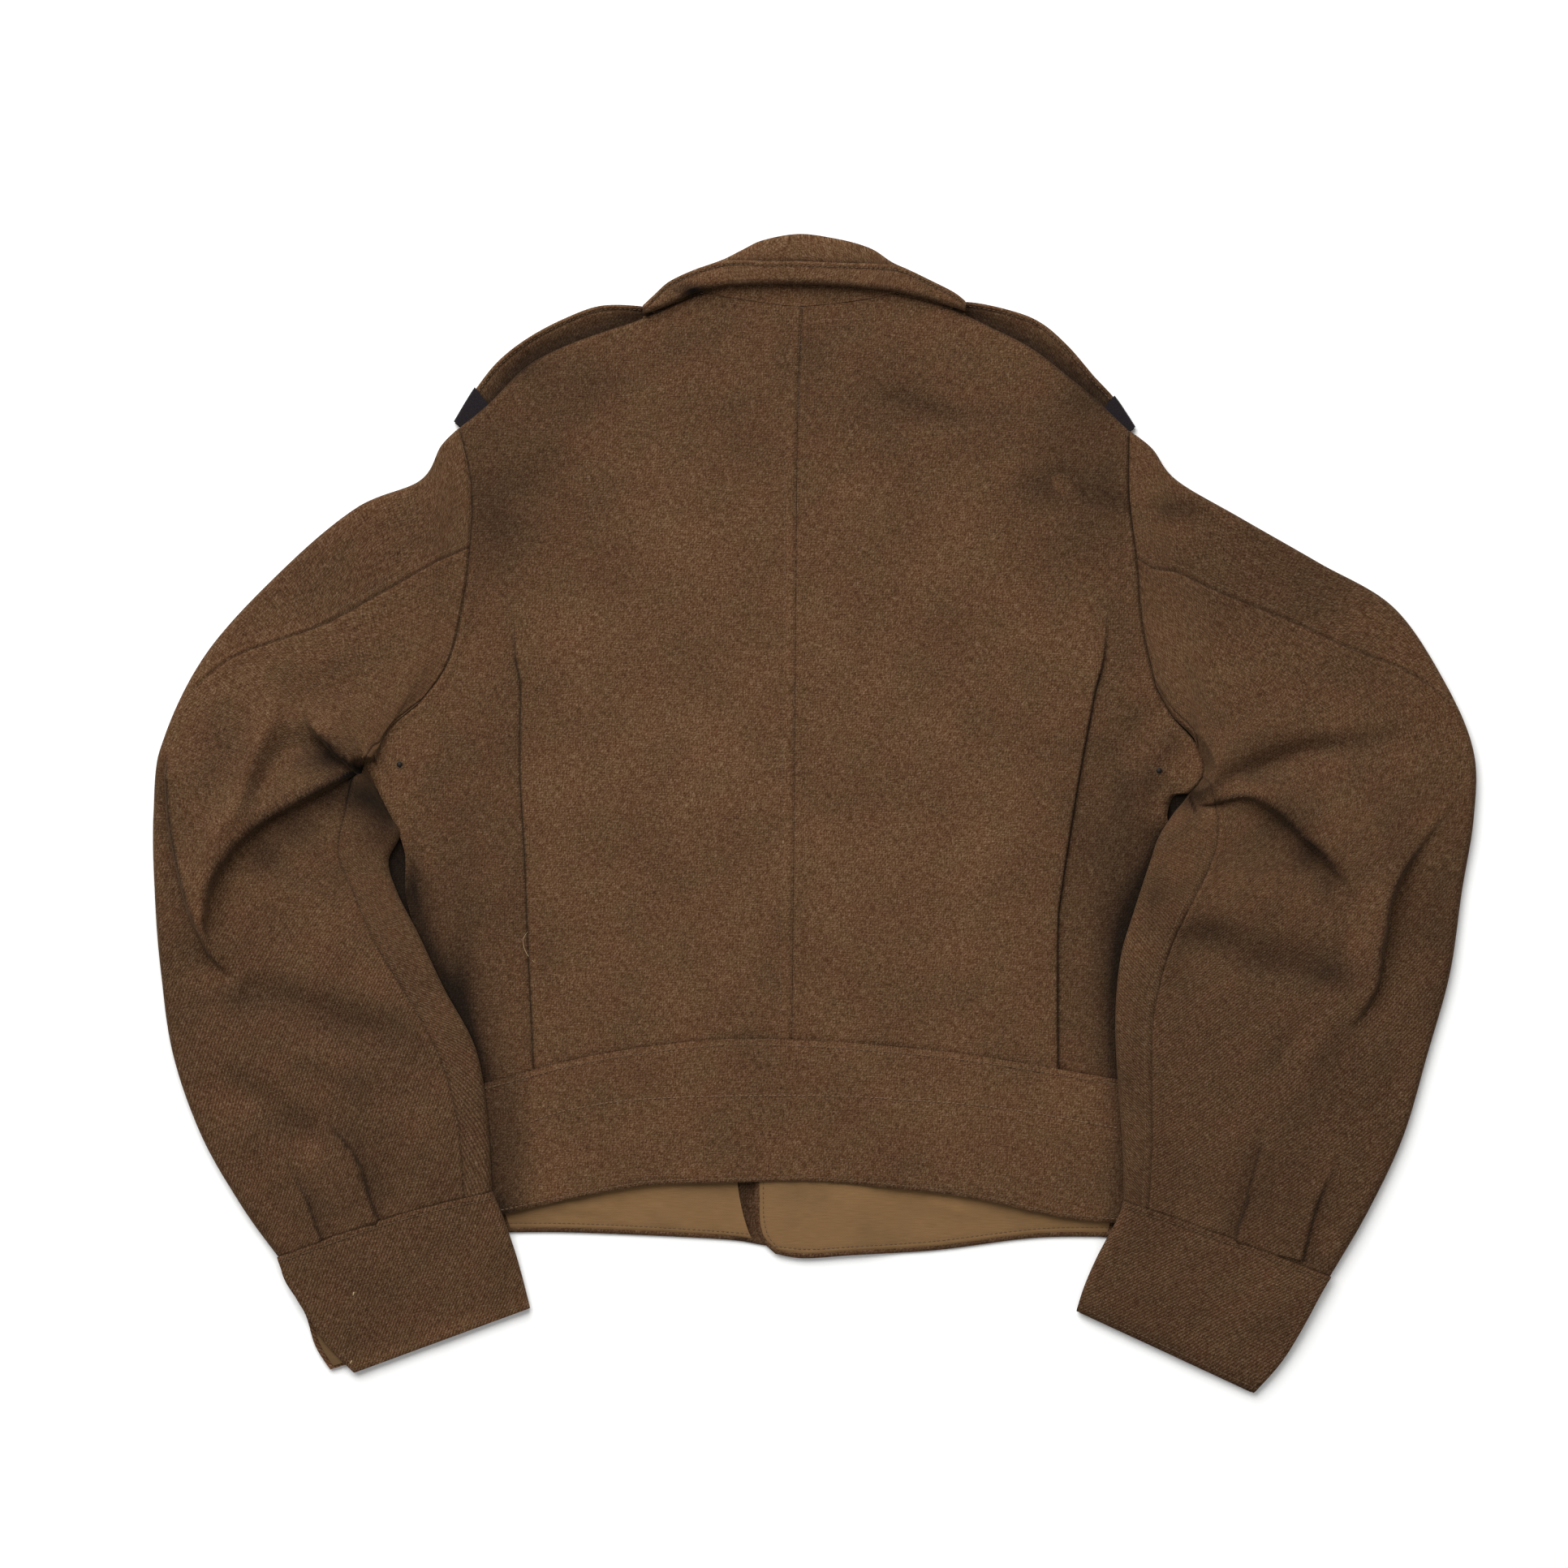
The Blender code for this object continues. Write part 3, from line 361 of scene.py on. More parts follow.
def toMesh(name, points, quads, material, uv=None, marks=None):
    mesh = bpy.data.meshes.new(name)
    mesh.from_pydata(((points - middle) * mm).tolist(), [], quads.tolist())
    bm = bmesh.new()
    bm.from_mesh(mesh)
    bmesh.ops.recalc_face_normals(bm, faces=bm.faces)
    bm.to_mesh(mesh)
    bm.free()
    if uv is not None:
        corner = np.empty(len(mesh.loops), int)
        mesh.loops.foreach_get("vertex_index", corner)
        layer = mesh.uv_layers.new(name="grain")
        layer.data.foreach_set("uv", (uv[corner] * mm).ravel())
    for mark, values in (marks or {}).items():
        mesh.attributes.new(mark, "FLOAT", "POINT").data.foreach_set("value", values)
    mesh.shade_smooth()
    mesh.set_sharp_from_angle(angle=sharpFrom)
    mesh.materials.append(material)
    piece = bpy.data.objects.new(name, mesh)
    bpy.context.scene.collection.objects.link(piece)
    made[name] = piece
    return piece


def gridQuads(rows, columns):
    at = np.arange(rows * columns).reshape(rows, columns)
    return np.stack([at[:-1, :-1], at[:-1, 1:], at[1:, 1:], at[1:, :-1]], -1).reshape(-1, 4)


def grainOf(grid):
    # cloth lengths round and along a bent piece
    around = fromEdge(grid, "near")
    around = around - around[:, [around.shape[1] // 2]]
    along = fromEdge(grid, "first").mean(1, keepdims=True) + 0 * around
    return np.stack([around, -along], -1)


def lay(piece, name, grid):
    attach(piece, "root")
    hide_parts(name)
    grids[name] = grid


def sew(name, outer, inner, slot="wool_serge", grain=None, tone=None, closed=True, ribbed=bodyRib):
    # a wall with both faces, or one face with its edges turned under
    grain = outer[..., :2] if grain is None else grain
    tone = np.ones(outer.shape[:2]) if tone is None else tone
    # the tone mark scales the colour: painted shade and light together with stains and fading
    marks = {"tone": tone, "ribbed": np.broadcast_to(ribbed, outer.shape[:2])}
    if closed:
        rows, columns = outer.shape[:2]
        quads = gridQuads(rows, columns)
        count = rows * columns
        at = np.arange(count).reshape(rows, columns)
        rim = np.concatenate([at[0], at[1:, -1], at[-1, -2::-1], at[-2:0:-1, 0]])
        nextRim = np.roll(rim, -1)
        edge = np.stack([rim, nextRim, nextRim + count, rim + count], -1)
        quads = np.concatenate([quads, quads[:, ::-1] + count, edge])
        points = np.concatenate([outer.reshape(-1, 3), inner.reshape(-1, 3)])
        uv = np.tile(grain.reshape(-1, 2), (2, 1))
        marks = {mark: np.tile(values.ravel(), 2) for mark, values in marks.items()}
    else:
        border = ((1, 1), (1, 1), (0, 0))
        wide, under = np.pad(outer, border, "edge"), np.pad(inner, border, "edge")
        wide[[0, -1]], wide[:, [0, -1]] = under[[0, -1]], under[:, [0, -1]]
        quads = gridQuads(*wide.shape[:2])
        points = wide.reshape(-1, 3)
        uv = np.pad(grain, border, "edge").reshape(-1, 2)
        marks = {mark: np.pad(values, 1, "edge").ravel() for mark, values in marks.items()}
    lay(toMesh(name, points, quads, finishes[slot], uv, marks), name, outer)


# Finishes

def linear(code):
    values = [int(code[i:i + 2], 16) / 255 for i in (1, 3, 5)]
    return [v / 12.92 if v <= 0.04045 else ((v + 0.055) / 1.055) ** 2.4 for v in values] + [1.0]


def setNode(tree, node, settings):
    # each setting is a value, a colour ramp's stops, or a node or output to be linked
    for key, value in settings.items():
        if key == "stops":
            while len(node.color_ramp.elements) < len(value):
                node.color_ramp.elements.new(0.5)
            for element, (place, code) in zip(node.color_ramp.elements, value):
                element.position, element.color = place, linear(code)
        elif isinstance(value, bpy.types.Node):
            tree.links.new(value.outputs[0], node.inputs[key])
        elif isinstance(value, bpy.types.NodeSocket):
            tree.links.new(value, node.inputs[key])
        elif isinstance(key, int) or key in node.inputs:
            node.inputs[key].default_value = value
        else:
            setattr(node, key, value)


def addNode(tree, kind, settings):
    node = tree.nodes.new("ShaderNode" + kind)
    setNode(tree, node, settings)
    return node


def newFinish(name):
    finish = bpy.data.materials.new(name)
    finish.use_nodes = True
    tree = finish.node_tree
    return finish, tree, tree.nodes["Principled BSDF"]


def clothFinish(name):
    # a finish with the cloth's own coordinates in millimetres
    finish, tree, shader = newFinish(name)
    grain = addNode(tree, "UVMap", {"uv_map": "grain"})
    real = addNode(tree, "VectorMath", {"operation": "SCALE", 0: grain, "Scale": 1 / mm})
    return finish, tree, shader, real


waveKeys = ("Scale", "Distortion", "Detail", "Detail Scale")
noiseKeys = ("Scale", "Detail", "Roughness", "Distortion")
rangeKeys = ("From Min", "From Max", "To Min", "To Max")
oneBand = 0.31416   # scale of a wave texture that has one band in each unit
bumpStrength = 0.6

# Brushed wool serge: mixed dark, rust and tan fibres spun together, so the eye sees a speckled
# brown with a faint diagonal rib and a soft, matt, hairy top
sergeLook = {
    "speckles": ((0.12, "#200c00"), (0.43, "#452d19"), (0.57, "#573f2a"), (0.92, "#7d6550")),
    "rust": "#553424", "olive": "#483a26", "ribShadow": "#26180f", "sheenTint": "#a58563",
    "hues": (0.36, 0.64), "hueShare": 0.14, "fibreShare": 0.15, "fibreMiddle": 1.025, "ribHeight": 0.55,
    "valley": (0.55, 0.0, 0.0, 0.34), "wash": (0.3, 0.7, 0.83, 1.16),
    "roughness": 0.93, "specular": 0.12, "sheen": 0.18, "sheenRoughness": 0.45, "bump": 0.2,
    "rib": (oneBand / 1.9, 1.7, 2.0, 1.3),   # one rib in 1.9 mm
    "slants": {"ribs": 40, "grains": 17},   # each at its own slant, so that no square pattern shows
    # lie, then sizes across and along it: spun yarn, and uneven threads of the weft and the warp
    "stretches": {"yarn": ("ribs", 0.6, 1.8), "weft": ("straight", 5.0, 0.8), "warp": ("straight", 0.8, 5.0)},
    # lie, then scale from the size, detail, roughness and distortion
    "noises": {
        "speckle": ("grains", 1 / 0.8, 2.0, 0.75, 0.1), "yarn": ("yarn", 1.0, 1.5, 0.5, 0.0),
        "mottle": ("ribs", 1 / 3.4, 3.0, 0.65, 0.3), "weft": ("weft", 1.0, 1.5, 0.5, 0.0),
        "warp": ("warp", 1.0, 1.5, 0.5, 0.0), "blotch": ("straight", 1 / 26, 1.0, 0.5, 0.0),
        "wash": ("straight", 1 / 75, 3.0, 0.6, 0.0),
    },
    "shares": {"yarn": 0.5, "mottle": 0.35, "weft": 0.6, "warp": 0.6},   # added to the speckle
}


def woolSerge(look):
    finish, tree, shader, straight = clothFinish("wool serge")
    lies, noise = {"straight": straight}, {}
    for name, angle in look["slants"].items():
        lies[name] = addNode(tree, "Mapping", {"Vector": straight, "Rotation": (0, 0, math.radians(angle))})
    for name, (lie, across, along) in look["stretches"].items():
        lies[name] = addNode(tree, "VectorMath", {"operation": "MULTIPLY", 0: lies[lie],
                                                  1: (1 / across, 1 / along, 1)})
    for name, (lie, *values) in look["noises"].items():
        noise[name] = addNode(tree, "TexNoise", {"Vector": lies[lie], **dict(zip(noiseKeys, values))})
    rib = addNode(tree, "TexWave", {"Vector": lies["ribs"], **dict(zip(waveKeys, look["rib"]))})
    ribbed, tone = [addNode(tree, "Attribute", {"attribute_name": mark}) for mark in ("ribbed", "tone")]
    rib, ribbed, tone = [node.outputs["Fac"] for node in (rib, ribbed, tone)]
    clumps = noise["speckle"]
    for name, amount in look["shares"].items():
        clumps = addNode(tree, "Math", {"operation": "MULTIPLY_ADD", 0: noise[name], 1: amount, 2: clumps})
    ridge = addNode(tree, "Math", {"operation": "SUBTRACT", 0: rib, 1: 0.5})
    raised = addNode(tree, "Math", {"operation": "MULTIPLY", 0: ridge, 1: ribbed})
    lined = addNode(tree, "Math", {"operation": "MULTIPLY_ADD", 0: raised, 1: look["fibreShare"], 2: clumps})
    mixed = addNode(tree, "Math", {"operation": "SUBTRACT", 0: lined, 1: look["fibreMiddle"]})
    fibres = addNode(tree, "ValToRGB", {"stops": look["speckles"], 0: mixed})
    hue = addNode(tree, "ValToRGB", {"stops": tuple(zip(look["hues"], (look["olive"], look["rust"]))),
                                     0: noise["blotch"]})
    dyed = addNode(tree, "Mix", {"data_type": "RGBA", 0: look["hueShare"], 6: fibres, 7: hue}).outputs[2]
    valley = addNode(tree, "MapRange", {"Value": rib, **dict(zip(rangeKeys, look["valley"]))})
    sunk = addNode(tree, "Math", {"operation": "MULTIPLY", 0: valley, 1: ribbed})
    dark = linear(look["ribShadow"])
    woven = addNode(tree, "Mix", {"data_type": "RGBA", 0: sunk, 6: dyed, 7: dark}).outputs[2]
    faded = addNode(tree, "MapRange", {"Value": noise["wash"], **dict(zip(rangeKeys, look["wash"]))})
    # the tone mark scales the colour: painted shade and light, with stains and random fading
    level = addNode(tree, "Math", {"operation": "MULTIPLY", 0: faded, 1: tone})
    shadedAndWorn = addNode(tree, "VectorMath", {"operation": "SCALE", 0: woven, "Scale": level})
    height = addNode(tree, "Math", {"operation": "MULTIPLY_ADD", 0: rib, 1: look["ribHeight"], 2: mixed})
    bump = addNode(tree, "Bump", {"Strength": bumpStrength, "Distance": look["bump"] * mm, "Height": height})
    setNode(tree, shader, {"Base Color": shadedAndWorn, "Normal": bump, "Roughness": look["roughness"],
                           "Specular IOR Level": look["specular"], "Sheen Weight": look["sheen"],
                           "Sheen Roughness": look["sheenRoughness"],
                           "Sheen Tint": linear(look["sheenTint"])})
    return finish


# Cotton drill: a close, smooth twill dyed tan, handled and a little soiled
drillLook = {
    "dye": ((0.35, "#664b29"), (0.95, "#775938")), "soil": "#594128", "rib": (oneBand / 0.9, 1.2, 1.0, 1.0),
    "ribAngle": 63, "ribShare": 0.35, "slub": (9.0, 0.7), "slubDetail": 2.0, "soilSize": 38,
    "soilDetail": 4.0, "dirt": (0.5, 0.75, 0.0, 0.5), "roughness": 0.8, "specular": 0.25, "sheen": 0.08,
    "bump": 0.12,
}


def cottonDrill(look):
    finish, tree, shader, real = clothFinish("cotton drill")
    turned = addNode(tree, "Mapping", {"Vector": real, "Rotation": (0, 0, math.radians(look["ribAngle"]))})
    rib = addNode(tree, "TexWave", {"Vector": turned, **dict(zip(waveKeys, look["rib"]))}).outputs["Fac"]
    long, short = look["slub"]
    stretched = addNode(tree, "VectorMath", {"operation": "MULTIPLY", 0: real, 1: (1 / long, 1 / short, 1)})
    slub = addNode(tree, "TexNoise", {"Vector": stretched, "Scale": 1.0, "Detail": look["slubDetail"]})
    soil = addNode(tree, "TexNoise", {"Vector": real, "Scale": 1 / look["soilSize"],
                                      "Detail": look["soilDetail"]})
    weave = addNode(tree, "Math", {"operation": "MULTIPLY_ADD", 0: rib, 1: look["ribShare"], 2: slub})
    dyed = addNode(tree, "ValToRGB", {"stops": look["dye"], 0: weave})
    dirt = addNode(tree, "MapRange", {"Value": soil, **dict(zip(rangeKeys, look["dirt"]))})
    soiled = addNode(tree, "Mix", {"data_type": "RGBA", 0: dirt, 6: dyed, 7: linear(look["soil"])}).outputs[2]
    tone = addNode(tree, "Attribute", {"attribute_name": "tone"}).outputs["Fac"]
    # the tone mark scales the colour: painted shade and light, with soiling
    shadedAndWorn = addNode(tree, "VectorMath", {"operation": "SCALE", 0: soiled, "Scale": tone})
    bump = addNode(tree, "Bump", {"Strength": bumpStrength, "Distance": look["bump"] * mm, "Height": weave})
    setNode(tree, shader, {"Base Color": shadedAndWorn, "Normal": bump, "Roughness": look["roughness"],
                           "Specular IOR Level": look["specular"], "Sheen Weight": look["sheen"]})
    return finish


# Black wool felt: dense and dull, with a trace of purple where the dye has turned
feltLook = {
    "dye": ((0.35, "#0f0b0e"), (0.7, "#1f191c")), "fibreSize": 0.8, "detail": 3.0, "roughness": 0.95,
    "specular": 0.15, "sheen": 0.1, "bump": 0.2,
}


def blackFelt(look):
    finish, tree, shader, real = clothFinish("black wool felt")
    fibre = addNode(tree, "TexNoise", {"Vector": real, "Scale": 1 / look["fibreSize"],
                                       "Detail": look["detail"]})
    dyed = addNode(tree, "ValToRGB", {"stops": look["dye"], 0: fibre})
    bump = addNode(tree, "Bump", {"Strength": bumpStrength, "Distance": look["bump"] * mm, "Height": fibre})
    setNode(tree, shader, {"Base Color": dyed, "Normal": bump, "Roughness": look["roughness"],
                           "Specular IOR Level": look["specular"], "Sheen Weight": look["sheen"]})
    return finish


# Cotton sewing thread: thin twisted strands, near the shade of the cloth they lie on
threadLook = {"twist": 900.0, "detail": 2.0, "darkShare": 0.62, "roughness": 0.7, "specular": 0.3}


def sewingThread(name, code, look=threadLook):
    finish, tree, shader = newFinish(name)
    place = addNode(tree, "TexCoord", {}).outputs["Object"]
    twist = addNode(tree, "TexNoise", {"Vector": place, "Scale": look["twist"], "Detail": look["detail"]})
    base = linear(code)
    dark = [look["darkShare"] * v for v in base[:3]] + [1.0]
    ply = addNode(tree, "Mix", {"data_type": "RGBA", 0: twist, 6: dark, 7: base}).outputs[2]
    setNode(tree, shader, {"Base Color": ply, "Roughness": look["roughness"],
                           "Specular IOR Level": look["specular"]})
    return finish


finishes = {"wool_serge": woolSerge(sergeLook), "tan_drill": cottonDrill(drillLook),
            "black_cloth": blackFelt(feltLook)}
brownThread = sewingThread("brown cotton thread", "#5f4831")
tanThread = sewingThread("tan cotton thread", "#735840")
paleThread = sewingThread("pale linen thread", "#b39a72")
eyeletHoleShade = sewingThread("painted hole shade", "#140b06")
print("finishes made")


# Back, in two halves with a folded pleat down each side

bodyCut = {"sinkOver": 8, "sewnFrom": 30, "sewnTo": 6, "neckFade": (52, 26)}   # lengths along the cut edge
back = {
    "pitch": 2.4, "tuck": 7.0, "neckTuck": 2.0, "hemTuck": (3.0, 1.6), "yoke": (110, 230), "centreGap": 0.1,
    "levels": (337, 262, 50), "waist": -149, "foldGuess": 0.2, "foldTries": 5, "foldShares": (0.12, 0.7),
    "foldZone": 9, "columns": {"outer": (30, 1.5), "turn": 21, "inner": (68, 1.35)},   # counts, crowding
    "lumps": ((0.42, 80, 11), (0.14, 26, 12), (0.05, 9, 13)),
    "underGap": 2.2, "sinkReach": 16, "ridgeDrop": 4.6, "ridgeReach": 7,
    # lengths from the shoulder tip and the armpit between which each edge starts or ends
    "ridgeTo": (2, -14), "armholeFrom": (-6, 4), "armholeTo": (4, -6), "freeFrom": (-4, 8),
    "freeEdge": ((0.8, 5, 4), (-1.6, 0, 1.6)), "armholeEdge": ((0.7, 4, 3), (-1.5, 0, 1.0)),
    "seamPressed": (("far", 0.5, 0, 1.5),), "seamSwell": ((0.45, 3, 2.2),),
    "waistPressed": (("last", 0.9, 0, 1.8),),
    "puckers": (("last", 0.22, 9, 16, 21), ("far", 0.16, 7, 14, 22)),
    "stitchFromSeam": 8.0, "stitchGroove": ((0.35, 8.0, 1.3),), "stitchEnds": (245, -135),
    "stitchFades": ((255, 235), (-140, -125)),
    "seamTone": {"left": ((-0.16, 0, 1.2), (0.06, 5, 3.5)), "right": ((-0.16, 0, 1.2),)},
    "armholeTone": ((0.30, 0, 1.1),), "ridgeShade": ((0.25, 0, 3.0),), "sleeveShadow": (0.72, 7, 12),
    "marks": ((-120.2, -132, 0.10, 5), (55.4, 4, 0.35, 1.6)),   # a small stain and a fleck
    "pinch": ((5.0, 0, 6),), "pinchShade": ((0.9, 0, 5),), "darkest": 0.12,
    "pleat": {"depth": 3.0, "soft": 0.7, "reach": 45, "fade": (150, 95), "lip": ((0.5, 3, 5),),
              "lipFade": (150, 60), "lean": ((1.8, 1.2, 2.4),), "leanFade": (140, 60),
              "line": ((0.62, -0.6, 1.6),), "hollow": (0.2, 9), "toneFade": (140, 80)},
    "pleats": {
        "left": ((-195, 300), (-200, 130), (-195, 83), (-195, 29), (-192, -25), (-190, -79), (-186, -167)),
        "right": ((159, -166), (159, -79), (162, -47), (173, 23), (183, 77), (193, 129), (196, 300)),
    },
    # painted shade on the yoke's sides, beside the sleeves and at the armpits, painted light on raised folds,
    # and broad fading
    "paintedShadingAndFading": (
        (-218, 205, 65, 75, -0.34), (195, 215, 60, 70, -0.27), (-10, 285, 230, 65, -0.19),
        (-148, 285, 38, 24, -0.18), (-3, 290, 18, 25, -0.10), (80, 266, 45, 10, -0.22),
        (-200, 298, 22, 9, -0.40), (190, 280, 18, 12, -0.30), (105, 243, 22, 14, -0.18),
        (150, 215, 28, 11, -0.24), (200, 208, 26, 10, -0.24), (-212, 195, 14, 30, -0.16),
        (236, 50, 9, 10, -0.30), (206, 14, 9, 16, -0.26), (182, 30, 10, 20, 0.16),
        (-232, -30, 34, 95, -0.22), (-234, -115, 10, 40, -0.35), (-268, -32, 6, 20, -0.30),
        (198, -20, 34, 85, -0.33), (216, 59, 12, 13, -0.10), (222, 26, 8, 18, -0.20),
        (200, -75, 17, 45, -0.12), (-70, 30, 110, 170, 0.06), (80, 20, 90, 170, 0.04),
        (-10, -120, 170, 80, 0.05),
    ),
    "folds": (
        Ridge(-3.0, 13, 0.20, 0.35, ((234, 82), (215, 57), (199, 37), (187, 13), (172, -14))),
        Ridge(2.6, 9, 0.25, 0.35, ((243, 56), (224, 40), (214, 10), (217, -24))),
        Ridge(-1.2, 18, 0.40, 0.40, ((-262, 60), (-235, 20), (-222, -40))),
    ),
    "creases": (
        Ridge(-3.2, 8, 0.35, 0.45, ((36, 277), (66, 269), (110, 254))),
        Ridge(-2.2, 9, 0.35, 0.40, ((140, 232), (170, 216), (202, 203))),
        Ridge(-2.0, 9, 0.35, 0.40, ((-222, 224), (-195, 214), (-166, 208))),
        Ridge(1.2, 10, 0.35, 0.45, ((50, 256), (84, 245), (118, 231))),
        Ridge(-1.5, 12, 0.40, 0.40, ((-196, 219), (-170, 229), (-146, 236))),
        Ridge(-1.8, 11, 0.35, 0.40, ((172, 236), (160, 212), (155, 190))),
        Ridge(-1.2, 14, 0.40, 0.40, ((-60, 326), (-95, 300), (-140, 286))),
        Ridge(-0.6, 9, 0.40, 0.50, ((-22, -60), (-25, -100), (-24, -140))),
        Ridge(-0.8, 8, 0.40, 0.40, ((-280, 8), (-262, -18), (-246, -58))),
        Ridge(0.8, 12, 0.40, 0.40, ((-222, 60), (-214, -10), (-206, -90))),
        Ridge(0.7, 10, 0.40, 0.40, ((196, -40), (184, -80), (180, -130))),
    ),
}


def backHeight(points, fine=True):
    pleat, y = back["pleat"], points[..., 1]
    height = backTop + yokeRise * ease(*back["yoke"], y)
    lean = np.zeros(np.shape(points))
    for path in back["pleats"].values():
        off, _, side = beside(path, points)
        step = (0.5 - 0.5 * np.tanh(off / pleat["soft"])) * np.exp(np.minimum(off, 0) / pleat["reach"])
        height = height - pleat["depth"] * ease(*pleat["fade"], y) * step
        height = height + ease(*pleat["lipFade"], y) * profile(off, pleat["lip"]) * (off > 0)
        lean = lean - (ease(*pleat["leanFade"], y) * profile(off, pleat["lean"]))[..., None] * side
    for fold in back["folds"] + (back["creases"] if fine else ()):
        height = height + foldShape(fold, points)[0]
    if fine:
        height = height + uneven(points, back["lumps"])
    return height, lean


def bodyEdge(side, flank, pitch, tuck, neckTuck, always=0.0):
    ridge, arm, pit, below = [evenSteps(table[side], pitch) for table in (shoulder, armhole, armpit, flank)]
    edge = np.concatenate([ridge[:-1], arm[:-1], pit, below[1:]])
    run = runLength(edge)
    places = np.cumsum([len(ridge) - 1, len(arm) - 1, len(pit) - 1])
    tip, top, low = run[places]
    # the edge runs on under the sleeve and under the collar
    ahead = np.gradient(edge, axis=0)
    outward = flip[side] * np.stack([ahead[:, 1], -ahead[:, 0]], -1)
    outward = outward / np.linalg.norm(outward, axis=1, keepdims=True)
    beneath = ease(top, top + bodyCut["sinkOver"], run) * ease(*overlap[side], edge[:, 1])
    sewn = always * ease(top - bodyCut["sewnFrom"], top - bodyCut["sewnTo"], run)
    reach = np.maximum(tuck * beneath, sewn) + neckTuck * ease(*bodyCut["neckFade"], run)
    return edge + outward * reach[:, None], run, tip, low, beneath[:, None]


def backPlan(side, edge, centre):
    width = np.linalg.norm(centre - edge, axis=1)
    path = share(back["pleats"][side], np.linspace(0, 1, curveSteps["seam"]))
    path = path[np.argsort(path[:, 1])]
    fold = np.full(len(edge), back["foldGuess"])
    for _ in range(back["foldTries"]):
        level = edge[:, 1] + fold * (centre[:, 1] - edge[:, 1])
        fold = (np.interp(level, path[:, 1], path[:, 0]) - edge[:, 0]) / (centre[:, 0] - edge[:, 0])
    fold = np.clip(fold, *back["foldShares"])[:, None]
    # columns crowd where the pleat's fold turns
    columns = back["columns"]
    near = np.minimum(back["foldZone"] / width[:, None], 0.5 * fold)
    outer = np.linspace(0, 1, columns["outer"][0])[None, :-1] ** columns["outer"][1]
    turn = np.linspace(-1, 1, columns["turn"])[None, :-1]
    inner = 1 - np.linspace(1, 0, columns["inner"][0])[None] ** columns["inner"][1]
    across = np.concatenate([outer * (fold - near), fold + turn * near,
                             fold + near + inner * (1 - fold - near)], 1)

    def along(row, table, w, gap):
        x = edge[row, 0] * (1 - w) + centre[row, 0] * w
        return np.stack([x, alongX(table, x) + gap], -1)

    return patch(edge, centre, lambda w: along(0, neckLine, w, 0),
                 lambda w: along(-1, bandSeam, w, cloth["seam"]), across)


def backHalf(side):
    edge, run, tip, pit, beneath = bodyEdge(side, backSide, back["pitch"], back["tuck"], back["neckTuck"])
    seam = share(centreSeam, np.linspace(0, 1, curveSteps["seam"]))[::-1]
    level = np.interp(run, [0, tip, pit, run[-1]], [*back["levels"], back["waist"] + cloth["seam"]])
    centreX = np.interp(level, seam[:, 1], seam[:, 0]) - flip[side] * back["centreGap"]
    plan = backPlan(side, edge, np.stack([centreX, level], -1))
    y = plan[..., 1]
    height, lean = backHeight(plan)
    outside = lifted(plan + lean, height)
    fromSide = fromEdge(outside, "near")
    # sunk under the sleeve, rounded at the free edge and the shoulder, drawn in at the armhole
    drop = beneath * (height[:, [0]] - cloth["serge"] - back["underGap"])
    outside[..., 2] -= drop * rolledDown(fromSide, back["sinkReach"])
    free = ease(*back["freeFrom"], run - pit)[:, None] * (1 - beneath)
    outside[..., 2] += free * profile(fromSide, back["freeEdge"])
    ridge = ease(*back["ridgeTo"], run - tip)[:, None]
    inward = 1 - np.clip(fromSide / back["ridgeReach"], 0, 1)
    outside[..., 2] -= ridge * back["ridgeDrop"] * (1 - np.sqrt(1 - inward ** 2))
    sleeveSide = (ease(*back["armholeFrom"], run - tip) * ease(*back["armholeTo"], run - pit))[:, None]
    outside[..., 2] += sleeveSide * profile(fromSide, back["armholeEdge"])
    press(outside, back["seamPressed"])
    fromSeam = fromEdge(outside, "far")
    outside[..., 2] += profile(fromSeam, back["seamSwell"])
    if side == "left":
        upper, lower = back["stitchFades"]
        outside[..., 2] -= ease(*upper, y) * ease(*lower, y) * profile(fromSeam, back["stitchGroove"])
    press(outside, back["waistPressed"])
    pucker(outside, back["puckers"])
    tone = 1 + profile(fromSeam, back["seamTone"][side]) + patches(plan, back["paintedShadingAndFading"])
    tone = tone - sleeveSide * profile(fromSide, back["armholeTone"])
    # painted shade along the shoulder's rounded edge
    tone = tone - ridge * profile(fromSide, back["ridgeShade"])
    for *place, amount, width in back["marks"]:
        tone = tone - amount * bell(fromPoint(plan, place), width)
    if side == "right":
        pinch = fromPoint(plan, pinchAt[side])
        outside[..., 2] -= profile(pinch, back["pinch"])
        # painted shade in the armpit's deep hole
        tone = tone - profile(pinch, back["pinchShade"])
    # painted shade along the pleat's crevice and in the hollow before it
    pleat, off = back["pleat"], beside(back["pleats"][side], plan)[0]
    amount, fade = pleat["hollow"]
    hollow = amount * np.exp(np.minimum(off, 0) / fade) * (off < 0)
    tone = tone - ease(*pleat["toneFade"], y) * (profile(off, pleat["line"]) + hollow)
    tone = np.maximum(tone - beneath * shadow(fromSide, *back["sleeveShadow"]), back["darkest"])
    outside = tucked(outside, *back["hemTuck"])
    outside[..., 2] = np.maximum(outside[..., 2], cloth["serge"])
    sew("back_" + side, outside, outside - [0, 0, cloth["serge"]],
        tone=np.concatenate([tone, tone[-1:]]), closed=False)


for hand in flip:
    backHalf(hand)
print("back halves cut, pleated and laid")


# Fronts, hidden under the back, lapped at the middle

